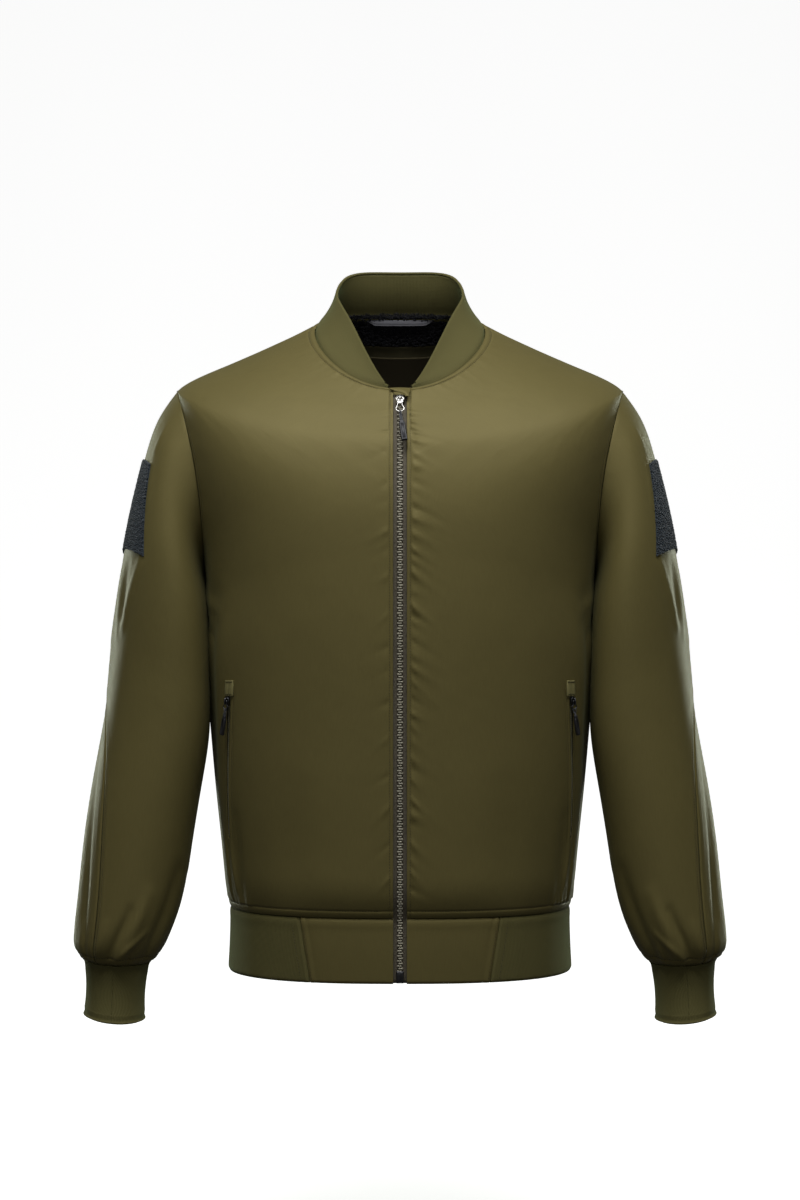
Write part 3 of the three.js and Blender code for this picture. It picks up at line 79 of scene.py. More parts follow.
# How the grids of cloth are divided
EDGE_STEPS = (1, 2, 3.5, 5, 5.8, 6.4, 7, 7.7, 8.5, 9.2, 9.9, 10.8, 12)  # where extra rows lie beside an edge
FINEST_ROW = 0.8
FINEST_SHARE = 0.0035  # the narrowest columns of the torso's panels
PANEL_END = 1 - 0.0008  # the share at which a panel of the torso ends, a hair short of its seam

# Openings and seams of the zips, the pockets and the hem
ZIP_HALF_GAP = 6.5
HEM_HALF_GAP = 0.2
HEM_TONGUE = (0.6, 2.0, 4.0)  # rows of the hem that stand up behind the waist seam
COLLAR_TONGUE = (-0.07, -0.025)  # rows of the collar that hang down behind the neck seam
POCKET_TOP_UP = 222
POCKET_LENGTH = 150
POCKET_BOTTOM_UP = POCKET_TOP_UP - POCKET_LENGTH
POCKET_GIRTH = 150  # millimetres of cloth for each radian beside the pocket
POCKET_TOP_TURN = 52.4
POCKET_BOTTOM_TURN = 62
POCKET_COLUMN = 0.7
POCKET_HALF_GAP = 2.4

# The pile patch: the ends of its top and bottom, each an angle and a way down the sleeve
PATCH_TOP = ((47, 67), (98, 79))
PATCH_BOTTOM = ((22, 152), (98, 170))
PATCH_WIDTH = 80
PATCH_HEIGHT = 92

# Heights and angles of the seams, up the torso from the waist and down the sleeve from the armhole
WAIST_UP = 0
UNDERARM_UP = 340
SHOULDER_UP = 470
NECK_UP = 600
SLEEVE_END = 560
SIDE_SEAM_TURN = 91
SHOULDER_SEAM_TURN = 90
NECK_POINT_TURN = 97
OUTER_SEAM_TURN = 130
UNDERARM_TURN = 270
TORSO_GIRTH = 165  # millimetres of cloth for each radian round the torso
SLEEVE_GIRTH = 62

TORSO_COLUMNS = ("up", "front_y", "front_z", "side_x", "side_y", "side_z", "back_y", "back_z", "square")
TORSO_ROWS = (
    (WAIST_UP, -121, -575, 169, 2, -575, 112, -575, 2.5),
    (18, -127, -557, 173, 3, -557, 118, -557, 2.5),
    (50, -130, -525, 177, 5, -525, 121, -525, 2.5),
    (110, -132, -465, 183.5, 9, -465, 120, -465, 2.5),
    (190, -133, -385, 190.5, 12, -387, 121, -385, 2.5),
    (270, -135, -305, 194.5, 13, -310, 126, -305, 2.5),
    (UNDERARM_UP, -135, -236, 195, 10, -240, 131, -236, 2.5),
    (385, -133, -194, 210, 7, -165, 133, -192, 2.45),
    (430, -126, -154, 226, 5, -102, 131, -147, 2.35),
    (SHOULDER_UP, -115, -121, 222, 4, -63, 126, -103, 2.2),
    (490, -110, -112, 204, 4, -51, 121, -85, 2.15),
    (515, -104, -101, 180, 4, -40.5, 114, -63, 2.1),
    (560, -93, -85, 131, 2, -21, 98, -22, 2.05),
    (NECK_UP, -80, -67, 85, -1, -3, 78, 19, 2),
)
SLEEVE_COLUMNS = (
    "down", "out_x", "out_z", "in_x", "in_y", "in_z",
    "front_x", "front_y", "front_z", "back_x", "back_y", "back_z",
)
SLEEVE_ROWS = (
    (0, 222, -63, 195, 10, -240, 199, -62, -150, 200, 72, -150),
    (30, 240, -89, 195, 3, -247, 212, -65, -161, 213, 77, -161),
    (70, 254, -128, 193.5, -10, -257, 222, -71, -185, 223, 82, -186),
    (115, 265, -172, 191.5, -22, -271, 229, -76, -216, 230, 83, -218),
    (165, 275, -222, 190, -30, -290, 235, -77, -254, 235, 80, -256),
    (215, 282, -275, 189, -33, -318, 239, -76, -295, 239, 75, -298),
    (270, 288, -334, 188, -34, -356, 242, -74, -343, 242, 69, -347),
    (320, 294, -386, 188, -33, -398, 246, -74, -391, 246, 64, -393),
    (385, 303, -452, 196, -30, -454, 253, -75, -453, 253, 54, -453),
    (450, 311, -518, 206.5, -28, -518, 261, -75, -518, 261, 43, -518),
    (500, 316.5, -568, 215.5, -26, -568, 268, -75, -570, 268, 34, -566),
    (537, 321, -601, 228, -26, -603, 275, -73, -606, 275, 26, -599),
    (551, 319.5, -615, 236.5, -26, -618, 278, -68, -620, 278, 19, -613),
    (SLEEVE_END, 313, -624.5, 245.6, -26, -628.5, 279.5, -60, -629.5, 279.5, 9, -623.5),
)
HEM_ROWS = ((-635.5, 171, 121, 113), (-605, 169.5, 121.5, 112.5), (-575.3, 169, 121, 112))
COLLAR_ROWS = (
    (8, 3, 0, 1, 2),
    (22, 19, 9, 8, 13),
    (40, 37, 18, 15, 27),
    (60, 51, 22, 19, 40),
    (80, 50, 21, 14, 42),
    (100, 48, 20.5, 5, 40),
    (125, 47, 14, -7, 41.5),
    (152, 46, 5, -14, 44.5),
    (180, 46, 0, -17, 45),
)
OUTER_SEAM_ROWS = (
    (110, 130), (210, 130), (270, 112), (310, 73), (345, 54), (400, 43), (480, 34), (SLEEVE_END, 28),
)
SEAM_TURNS_FROM = 210  # the way down the sleeve at which its outer seam starts to come forward


class Side(Enum):
    """The wearer's sides, as the sign of X."""

    LEFT = 1
    RIGHT = -1

    @property
    def suffix(self) -> str:
        """The side's name in a node name."""
        return self.name.lower()


def smooth01(t: Array) -> Array:
    """A step from 0 to 1 with a soft start and end."""
    t = np.clip(t, 0, 1)
    return t * t * (3 - 2 * t)


def points(x: Array, y: Array, z: Array) -> Array:
    """Coordinates as an array of points, its last axis being x, y, z."""
    return np.stack(np.broadcast_arrays(x, y, z), axis=-1).astype(float)


class Curve:
    """A natural cubic spline through given values."""

    def __init__(self, xs: Sequence[float], ys: Sequence[float]) -> None:
        """Works out the bend of the curve at each given value.

        Args:
            xs: Rising places.
            ys: The value at each place.
        """
        self.xs = np.array(xs, float)
        self.ys = np.array(ys, float)
        count = len(xs)
        widths = np.diff(self.xs)
        slopes = np.diff(self.ys) / widths
        system = np.eye(count)
        right = np.zeros(count)
        for i in range(1, count - 1):
            system[i, i - 1] = widths[i - 1]
            system[i, i] = 2 * (widths[i - 1] + widths[i])
            system[i, i + 1] = widths[i]
            right[i] = 6 * (slopes[i] - slopes[i - 1])
        self.bends = np.linalg.solve(system, right)

    def at(self, x: Array) -> Array:
        """The curve's value at each x."""
        x = np.asarray(x, float)
        i = np.clip(np.searchsorted(self.xs, x) - 1, 0, len(self.xs) - 2)
        width = self.xs[i + 1] - self.xs[i]
        b = (x - self.xs[i]) / width
        a = 1 - b
        bend = ((a**3 - a) * self.bends[i] + (b**3 - b) * self.bends[i + 1]) * width**2 / 6
        return a * self.ys[i] + b * self.ys[i + 1] + bend


class Table:
    """A table of sizes whose columns run smoothly from row to row."""

    def __init__(self, columns: Sequence[str], rows: Sequence[Sequence[float]]) -> None:
        """Makes one curve for each named column after the first, which is the key."""
        keys = [row[0] for row in rows]
        self.curves = {name: Curve(keys, [row[i + 1] for row in rows]) for i, name in enumerate(columns[1:])}

    def __getitem__(self, name: str) -> Curve:
        """The curve of one column."""
        return self.curves[name]

    def at(self, key: Array) -> dict[str, Array]:
        """Every column's value at the given keys."""
        return {name: curve.at(key) for name, curve in self.curves.items()}


def four_point_loop(corners: Sequence[Array], turn: Array) -> Array:
    """Points of closed curves through four points each.

    Args:
        corners: The front, outer, back and inner points.
        turn: Angles in radians, 0 at the front and a quarter turn outside.

    Returns:
        The points, as an array whose last axis is x, y, z.
    """
    front, outer, back, inner = corners
    centre = (front + outer + back + inner) / 4
    s = np.sin(turn)[..., None]
    c = np.cos(turn)[..., None]
    swing = (front - back) * c / 2 + (outer - inner) * s / 2
    return centre + swing + ((front + back) / 2 - centre) * c * c + ((outer + inner) / 2 - centre) * s * s


@dataclass(frozen=True)
class Crease:
    """A soft ridge or trough along a line on the flat cloth."""

    start: Pair
    end: Pair
    wide: float
    height: float
    sharp: float = 1.0

    def field(self, across: Array, along: Array, wrap: float = 0) -> Array:
        """The crease's height over the cloth.

        Args:
            across: Places round the form, in millimetres.
            along: Places up or down the form, in millimetres.
            wrap: The whole way round, for a tube.

        Returns:
            Heights in millimetres.
        """
        dx = self.end[0] - self.start[0]
        dy = self.end[1] - self.start[1]
        px = across - self.start[0]
        if wrap:
            px = px - wrap * np.round((px - dx / 2) / wrap)
        py = along - self.start[1]
        share = np.clip((px * dx + py * dy) / (dx * dx + dy * dy), 0, 1)
        away = np.hypot(px - share * dx, py - share * dy) / self.wide
        fade = 0.25 + 0.75 * np.sin(math.pi * (0.1 + 0.8 * share))
        return self.height * fade * np.exp(-(away ** (2 / self.sharp)))


@dataclass(frozen=True)
class TorsoForm:
    """The torso: rings of cloth from the waist seam to the neck seam."""

    rows: Table = field(default_factory=lambda: Table(TORSO_COLUMNS, TORSO_ROWS))
    armhole: tuple[Triple, ...] = (
        (199, -62, -150), (222, 4, -63), (200, 72, -150), (195, 10, -240),
    )
    edge_pull: float = 3.0

    def ring(self, up: Array, turn: Array) -> Array:
        """Points of the plain rings; turn is in radians from centre front."""
        row = self.rows.at(up)
        s, c = np.sin(turn), np.cos(turn)
        square = row["square"]
        reach = (np.abs(s) ** square + np.abs(c) ** square) ** (-1 / square)
        across, forward = reach * s, reach * c
        depth = np.where(forward > 0, row["side_y"] - row["front_y"], row["back_y"] - row["side_y"])
        middle = (row["front_z"] + row["back_z"]) / 2
        tilt = (row["back_z"] - row["front_z"]) / 2
        z = middle - tilt * forward + (row["side_z"] - middle) * across**2
        return points(row["side_x"] * across, row["side_y"] - depth * forward, z)

    def armhole_point(self, turn: Array) -> Array:
        """Points of the armhole seam; turn, in radians, runs from -90 degrees under the arm to 90 on top."""
        return four_point_loop([np.array(corner, float) for corner in self.armhole], turn)

    def edge(self, up: Array, is_front: bool) -> tuple[Array, Array]:
        """Where each ring ends, at a seam or the armhole.

        Args:
            up: Rings, as their way up from the waist seam.
            is_front: True for the fronts and False for the back.

        Returns:
            The angles in radians, and the points.
        """
        share = np.clip((up - SHOULDER_UP) / (NECK_UP - SHOULDER_UP), 0, 1)
        top_turn = (SHOULDER_SEAM_TURN + (NECK_POINT_TURN - SHOULDER_SEAM_TURN) * share) * RAD
        turn = np.where(up <= UNDERARM_UP, SIDE_SEAM_TURN * RAD, top_turn)
        seam = self.ring(up, turn)
        inside = (up > UNDERARM_UP) & (up < SHOULDER_UP)
        arm_turn = (-90 + 180 * (up - UNDERARM_UP) / (SHOULDER_UP - UNDERARM_UP)) * RAD
        arm = self.armhole_point(arm_turn if is_front else math.pi - arm_turn)
        row = self.rows.at(up)
        in_front = arm[..., 1] < row["side_y"]
        depth = np.where(in_front, row["side_y"] - row["front_y"], row["back_y"] - row["side_y"])
        arm_end = np.arctan2(arm[..., 0] / row["side_x"], (row["side_y"] - arm[..., 1]) / depth)
        return np.where(inside, arm_end, turn), np.where(inside[..., None], arm, seam)

    def turn(self, up: Array, share: Array, is_front: bool) -> Array:
        """The angle from centre front at a share of a panel's width, in radians."""
        centre = 0 if is_front else math.pi
        return centre + (self.edge(up, is_front)[0] - centre) * share

    def panel(self, up: Array, share: Array, is_front: bool) -> Array:
        """Points of a plain panel: share 0 is the centre line and 1 the seam or armhole."""
        edge_turn, edge_point = self.edge(up, is_front)
        point = self.ring(up, self.turn(up, share, is_front))
        pull = (np.abs(share) ** self.edge_pull)[..., None]
        return point + (edge_point - self.ring(up, edge_turn)) * pull


@dataclass(frozen=True)
class SleeveForm:
    """The left sleeve: rings of cloth from the armhole to the cuff seam."""

    rows: Table = field(default_factory=lambda: Table(SLEEVE_COLUMNS, SLEEVE_ROWS))
    seam_rows: Table = field(default_factory=lambda: Table(("down", "turn"), OUTER_SEAM_ROWS))
    out_y: float = 4
    out_drift: float = -30

    def plain(self, down: Array, turn: Array) -> Array:
        """Points of the plain form; turn is in radians, 0 at the front and a quarter turn outside."""
        row = self.rows.at(down)
        out_y = self.out_y + self.out_drift * smooth01((down - 150) / (SLEEVE_END - 120))
        corners = [
            points(row["front_x"], row["front_y"], row["front_z"]),
            points(row["out_x"], out_y, row["out_z"]),
            points(row["back_x"], row["back_y"], row["back_z"]),
            points(row["in_x"], row["in_y"], row["in_z"]),
        ]
        return four_point_loop(corners, turn)

    def outer_seam(self, down: Array) -> Array:
        """The angle of the outer seam, in radians, which comes forward down the forearm."""
        forward = self.seam_rows["turn"].at(np.maximum(down, SEAM_TURNS_FROM))
        return np.where(down <= SEAM_TURNS_FROM, OUTER_SEAM_TURN, forward) * RAD


@dataclass(frozen=True)
class CuffForm:
    """The left rib cuff, from the sleeve down."""

    height: float = 55
    middle: Triple = (279.8, -25.5, -626.5)
    half_x: float = 33
    half_y: float = 34
    shrink: float = 2
    shift: Triple = (2.2, -4, -55)
    lift: float = 1
    seam_tilt: Pair = (2, 3)
    taper: Pair = (3.8, 2.5)

    def point(self, share: Array, turn: Array) -> Array:
        """Points of the cuff: share 0 at the sleeve and 1 at its free edge."""
        waist = self.shrink * np.sin(math.pi * np.clip(share * 1.15, 0, 1)) ** 0.8
        half_x = self.half_x - waist - self.taper[0] * share
        half_y = self.half_y - waist - self.taper[1] * share
        s, c = np.sin(turn), np.cos(turn)
        return points(
            self.middle[0] + self.shift[0] * share + half_x * s,
            self.middle[1] + self.shift[1] * share - half_y * c,
            self.middle[2] + self.shift[2] * share + self.lift * share * s + self.seam_tilt[0] * s
            - self.seam_tilt[1] * c,
        )


@dataclass(frozen=True)
class HemForm:
    """The hem band, from the waist seam down."""

    rows: Table = field(default_factory=lambda: Table(("z", "side", "front", "back"), HEM_ROWS))
    bottom_z: float = -637
    top_z: float = -575.3
    seam_top_x: float = 96
    seam_bottom_x: float = 86
    side_y: float = 2
    square: float = 2.5

    def point(self, z: Array, turn: Array) -> Array:
        """Points of the band at heights and angles from centre front, in radians."""
        row = self.rows.at(z)
        s, c = np.sin(turn), np.cos(turn)
        reach = (np.abs(s) ** self.square + np.abs(c) ** self.square) ** (-1 / self.square)
        depth = np.where(c > 0, row["front"] + self.side_y, row["back"] - self.side_y)
        return points(row["side"] * reach * s, self.side_y - depth * reach * c, z)

    def seam_x(self, z: Array) -> Array:
        """How far the slanting seam is from the centre front at a height."""
        rise = (z - self.bottom_z) / (self.top_z - self.bottom_z)
        return self.seam_bottom_x + (self.seam_top_x - self.seam_bottom_x) * rise

    def turn_at(self, z: Array, x: Array) -> Array:
        """The angle at which the band is a given distance from the centre front."""
        low, high = np.zeros_like(z), np.full_like(z, math.pi / 2)
        for _ in range(30):
            middle = (low + high) / 2
            short = self.point(z, middle)[..., 0] < x
            low, high = np.where(short, middle, low), np.where(short, high, middle)
        return low


@dataclass(frozen=True)
class CollarForm:
    """The rib collar round the neck seam."""

    torso: TorsoForm
    rows: Table = field(
        default_factory=lambda: Table(("turn", "height", "in_x", "edge_y", "rise"), COLLAR_ROWS)
    )
    start_x: float = 12
    flare: float = 3.5

    def point(self, share: Array, turn: Array) -> Array:
        """Points of the collar: share 0 at the neck seam and 1 at its free edge, turn in radians."""
        folded = np.where(turn > math.pi, 2 * math.pi - turn, turn)
        side = np.where(turn > math.pi, -1, 1)
        row = self.rows.at(folded / RAD)
        seam = self.torso.ring(np.full_like(folded, NECK_UP), folded)
        hollow = self.flare * np.sin(math.pi * share) * np.clip(row["height"] / 40, 0, 1)
        x = seam[..., 0] - row["in_x"] * share - hollow * np.sin(folded)
        y = seam[..., 1] + row["edge_y"] * share + hollow * np.cos(folded)
        return points(side * x, y, seam[..., 2] + row["rise"] * share)


def grid_normals(grid: Array, tube: bool = False) -> Array:
    """The unit normals of a grid of points, along rows crossed with along columns.

    Args:
        grid: Points as [row, column, xyz].
        tube: True where the last column meets the first.

    Returns:
        The normals, in the same layout.
    """
    along = np.gradient(grid, axis=0)
    if tube:
        closed = np.concatenate([grid[:, -2:-1], grid, grid[:, 1:2]], axis=1)
        across = np.gradient(closed, axis=1)[:, 1:-1]
    else:
        across = np.gradient(grid, axis=1)
    normal = np.cross(across, along)
    return normal / np.maximum(np.linalg.norm(normal, axis=2, keepdims=True), 1e-9)


def cloth_uv(grid: Array) -> Array:
    """Flat-cloth coordinates in metres: the way across and the way along, by the lengths on the cloth."""
    step_across = np.linalg.norm(np.diff(grid, axis=1), axis=2)
    step_along = np.linalg.norm(np.diff(grid, axis=0), axis=2)
    across = np.concatenate([np.zeros((grid.shape[0], 1)), np.cumsum(step_across, axis=1)], axis=1)
    along = np.concatenate([[0], np.cumsum(step_along.mean(axis=1))])
    across = across - across[:, across.shape[1] // 2][:, None]
    return np.stack([across, np.repeat(along[:, None], grid.shape[1], axis=1)], axis=-1) * MM


def edge_graded(low: float, high: float, count: int, finest: float) -> Array:
    """Values from low to high that stand closer together near both ends.

    Args:
        low: The first value.
        high: The last value.
        count: How many even steps there are.
        finest: The size of the first step.

    Returns:
        The rising values.
    """
    even = np.linspace(low, high, count + 1)
    extra = [finest * step for step in EDGE_STEPS if finest * step < abs(high - low) / 2]
    way = math.copysign(1, high - low)
    near = [low + e * way for e in extra]
    far = [high - e * way for e in extra]
    values = np.unique(np.round(np.concatenate([even, near, far]), 6))
    return values if high > low else values[::-1]


def sheet_object(
    name: str, grid: Array, wall: float, outward: bool = True, drop: Array | None = None
) -> Piece:
    """A sheet of cloth whose outer face is a grid of points.

    Args:
        name: The piece's name.
        grid: Outer points as [row, column, xyz], in millimetres.
        wall: The wall's thickness, in millimetres.
        outward: False turns the faces round.
        drop: Cells to leave open, as [row, column].

    Returns:
        The object, with its wall as a live Solidify modifier.
    """
    rows, columns = grid.shape[:2]
    bm = bmesh.new()
    bmesh.ops.create_grid(bm, x_segments=columns - 1, y_segments=rows - 1, size=1)
    if drop is not None:
        middles = [(face, face.calc_center_median()) for face in bm.faces]
        gone = [
            face
            for face, middle in middles
            if drop[int((middle.y + 1) / 2 * (rows - 1)), int((middle.x + 1) / 2 * (columns - 1))]
        ]
        bmesh.ops.delete(bm, geom=gone, context="FACES")
    if not outward:
        bmesh.ops.reverse_faces(bm, faces=bm.faces)
    mesh = bpy.data.meshes.new(name)
    bm.to_mesh(mesh)
    bm.free()
    flat = np.zeros(len(mesh.vertices) * 3, np.float32)
    mesh.vertices.foreach_get("co", flat)
    place = flat.reshape(-1, 3)
    column = np.rint((place[:, 0] + 1) / 2 * (columns - 1)).astype(int)
    row = np.rint((place[:, 1] + 1) / 2 * (rows - 1)).astype(int)
    mesh.vertices.foreach_set("co", (grid[row, column] * MM).astype(np.float32).ravel())
    corner = np.zeros(len(mesh.loops), np.int32)
    mesh.loops.foreach_get("vertex_index", corner)
    layer = mesh.uv_layers.new(name="cloth")
    layer.data.foreach_set("uv", cloth_uv(grid)[row, column][corner].astype(np.float32).ravel())
    mesh.update()
    mesh.shade_smooth()
    piece = bpy.data.objects.new(name, mesh)
    bpy.context.scene.collection.objects.link(piece)
    solid = piece.modifiers.new("wall", "SOLIDIFY")
    solid.thickness = wall * MM
    solid.offset = -1
    solid.use_even_offset = False
    return piece


def to_side(grid: Array, side: Side) -> Array:
    """A grid on the given side; left grids are mirrored for the right."""
    return grid * np.array([side.value, 1, 1])


def mirror_signs(shares: Array) -> Array:
    """Factors that carry points of the left half to the side of each share."""
    same = np.ones_like(shares)
    return np.stack([np.sign(shares + 1e-12), same, same], axis=-1)


@dataclass(frozen=True)
class PuckerRow:
    """Small gathers that stand across a seam and die out away from it."""

    seed: int
    start: float
    end: float
    pitch: float
    height: float
    wide: float
    reach: float
    slant: float = 0.0

    def field(self, along: Array, away: Array) -> Array:
        """The gathers' height over the cloth.

        Args:
            along: Places along the seam, in millimetres.
            away: Distances from the seam, in millimetres.

        Returns:
            Heights in millimetres.
        """
        chance = random.Random(self.seed)
        total = np.zeros_like(along)
        place = self.start
        while place < self.end:
            height = self.height * chance.uniform(0.35, 1.15) * chance.choice((1, 1, -0.8))
            wide = self.wide * chance.uniform(0.7, 1.4)
            reach = self.reach * chance.uniform(0.6, 1.5)
            lean = self.slant + chance.uniform(-0.35, 0.35)
            away_here = np.abs(along - place - lean * away)
            total += height * np.exp(-((away_here / wide) ** 2) - np.maximum(away, 0) / reach)
            place += self.pitch * chance.uniform(0.65, 1.4)
        return total


class ClothSurface:
    """A surface of two values, u and v, with its relief. The steps are for slopes."""

    step_u = 0.5
    step_v = 0.002
    turned = 1

    def plain(self, u: Array, v: Array) -> Array:
        """Points without relief."""
        raise NotImplementedError

    def relief(self, u: Array, v: Array) -> Array:
        """Heights of folds and gathers above the plain form."""
        return np.zeros_like(u)

    def slope_normal(self, surface: Callable, u: Array, v: Array) -> Array:
        """The outward unit normals of a surface function, by small differences."""
        along_u = surface(u + self.step_u, v) - surface(u - self.step_u, v)
        along_v = surface(u, v + self.step_v) - surface(u, v - self.step_v)
        normal = np.cross(along_u, along_v) * self.turned
        return normal / np.maximum(np.linalg.norm(normal, axis=-1, keepdims=True), 1e-9)

    def point(self, u: Array, v: Array) -> Array:
        """Points with relief."""
        return self.plain(u, v) + self.slope_normal(self.plain, u, v) * self.relief(u, v)[..., None]

    def normal(self, u: Array, v: Array) -> Array:
        """Normals of the surface with relief."""
        return self.slope_normal(self.point, u, v)

    def offset(self, u: Array, v: Array, outset: float | Array) -> Array:
        """Points a given way off the surface."""
        outset = np.broadcast_to(np.asarray(outset, float), np.broadcast(u, v).shape)
        return self.point(u, v) + self.normal(u, v) * outset[..., None]


def seam_dip(away: Array, depth: float = 0.9, wide: float = 1.6, swell: float = 0.35) -> Array:
    """The height of cloth beside a seam: it dives into the seam and swells a little next to it."""
    away = np.abs(away)
    beside = (away - 3.2 * wide) / (2.2 * wide)
    return -depth * np.exp(-((away / wide) ** 2)) + swell * np.exp(-(beside**2))


def groove(away: Array, depth: float = 0.55, wide: float = 1.1) -> Array:
    """The height of cloth beside a row of stitches, which pulls it into a narrow groove."""
    return -depth * np.exp(-((away / wide) ** 2))


@dataclass
class TorsoPanel(ClothSurface):
    """One half of the torso, front or back, on the left; v is the share from the centre line to the seam."""

    is_front: bool
    form: TorsoForm = field(default_factory=TorsoForm)
    creases: tuple[Crease, ...] = ()
    waist: PuckerRow | None = None
    zip_edge: PuckerRow | None = None
    armhole: PuckerRow | None = None
    neck: PuckerRow | None = None

    def __post_init__(self) -> None:
        """Points the normals outwards."""
        self.turned = -1 if self.is_front else 1

    def plain(self, u: Array, v: Array) -> Array:
        """Points of the plain panel."""
        return self.form.panel(u, v, self.is_front)

    def seam_length(self, u: Array) -> Array:
        """Millimetres of cloth for the whole share, near the seam."""
        end = self.plain(u, np.ones_like(u))
        return np.linalg.norm(end - self.plain(u, np.full_like(u, 0.98)), axis=-1) / 0.02

    def relief(self, u: Array, v: Array) -> Array:
        """Folds of the body, gathers at the seams, and the dip of each seam."""
        u, v = np.broadcast_arrays(np.asarray(u, float), np.asarray(v, float))
        across = self.form.turn(u, v, self.is_front) * TORSO_GIRTH
        calm = smooth01((UNDERARM_UP + 110 - u) / 110) * smooth01((u - WAIST_UP) / 20)
        high = sum((crease.field(across, u) for crease in self.creases), np.zeros_like(u)) * calm
        to_seam = (1 - np.abs(v)) * self.seam_length(u)
        high = high * smooth01(to_seam / 10)
        at_arm = (u > UNDERARM_UP) & (u < SHOULDER_UP)
        high += np.where(at_arm, seam_dip(to_seam, 0.3, 1.4, 0.3), seam_dip(to_seam, 0.8, 1.5))
        stitched = at_arm | (u > SHOULDER_UP) & (not self.is_front)
        high += np.where(stitched, groove(to_seam - SEAM_STITCH), 0)
        high += seam_dip(u - WAIST_UP, 0.6, 1.4, 0.3) + seam_dip(NECK_UP - u, 0.8, 1.2, 0.3)
        high += groove(u - WAIST_STITCH, 0.55, 1.0) + groove(NECK_UP - NECK_STITCH - u, 0.7)
        if self.is_front:
            from_zip = self.form.rows["side_x"].at(u) * np.sin(np.abs(v) * self.form.edge(u, True)[0])
            high += groove(from_zip - ZIP_HALF_GAP - ZIP_STITCH, 0.5, 1.2)
            high += self.pocket_relief(u, v)
        if self.waist:
            high += self.waist.field(across, np.maximum(u - 8, 0)) * smooth01((u - 6) / 3)
        if self.zip_edge and self.is_front:
            high += self.zip_edge.field(u, np.maximum(across - 9, 0)) * smooth01((across - 7) / 5)
        if self.armhole:
            inside = smooth01((u - UNDERARM_UP - 10) / 20) * smooth01((SHOULDER_UP - u) / 20)
            high += self.armhole.field(u, to_seam) * inside * smooth01(to_seam / 4)
        if self.neck:
            high += self.neck.field(across, np.maximum(NECK_UP - 5 - u, 0)) * smooth01((NECK_UP - 3 - u) / 4)
        return high

    def pocket_relief(self, u: Array, v: Array) -> Array:
        """The raised lips of the pocket zip and the groove of its topstitching."""
        away = np.abs(np.abs(v) - pocket_share(u)) * self.form.edge(u, True)[0] * POCKET_GIRTH
        inside = smooth01((u - POCKET_BOTTOM_UP + 6) / 8) * smooth01((POCKET_TOP_UP + 4 - u) / 8)
        lip = 0.8 * np.exp(-(((away - 3) / 2.0) ** 2))
        return (lip + groove(away - POCKET_STITCH, 0.6)) * inside


TORSO = TorsoForm()


def pocket_share(up: Array) -> Array:
    """The share of the front at which the pocket zip crosses a ring."""
    along = np.clip((POCKET_TOP_UP - up) / POCKET_LENGTH, 0, 1)
    return (POCKET_TOP_TURN + (POCKET_BOTTOM_TURN - POCKET_TOP_TURN) * along) / SIDE_SEAM_TURN


def zip_share(up: Array, x: float) -> Array:
    """The share of the front that lies a given way from the centre line."""
    return np.arcsin(x / TORSO.rows["side_x"].at(up)) / TORSO.edge(up, True)[0]


def front_share(up: Array, column: Array) -> Array:
    """The share of the front for a column: 0 at the zip, 1 at the seam, and one between at the pocket."""
    pocket = pocket_share(up)
    first = zip_share(up, ZIP_HALF_GAP)
    inner = first + (pocket - first) * column / POCKET_COLUMN
    outer = pocket + (PANEL_END - pocket) * (column - POCKET_COLUMN) / (1 - POCKET_COLUMN)
    return np.where(column < POCKET_COLUMN, inner, outer)


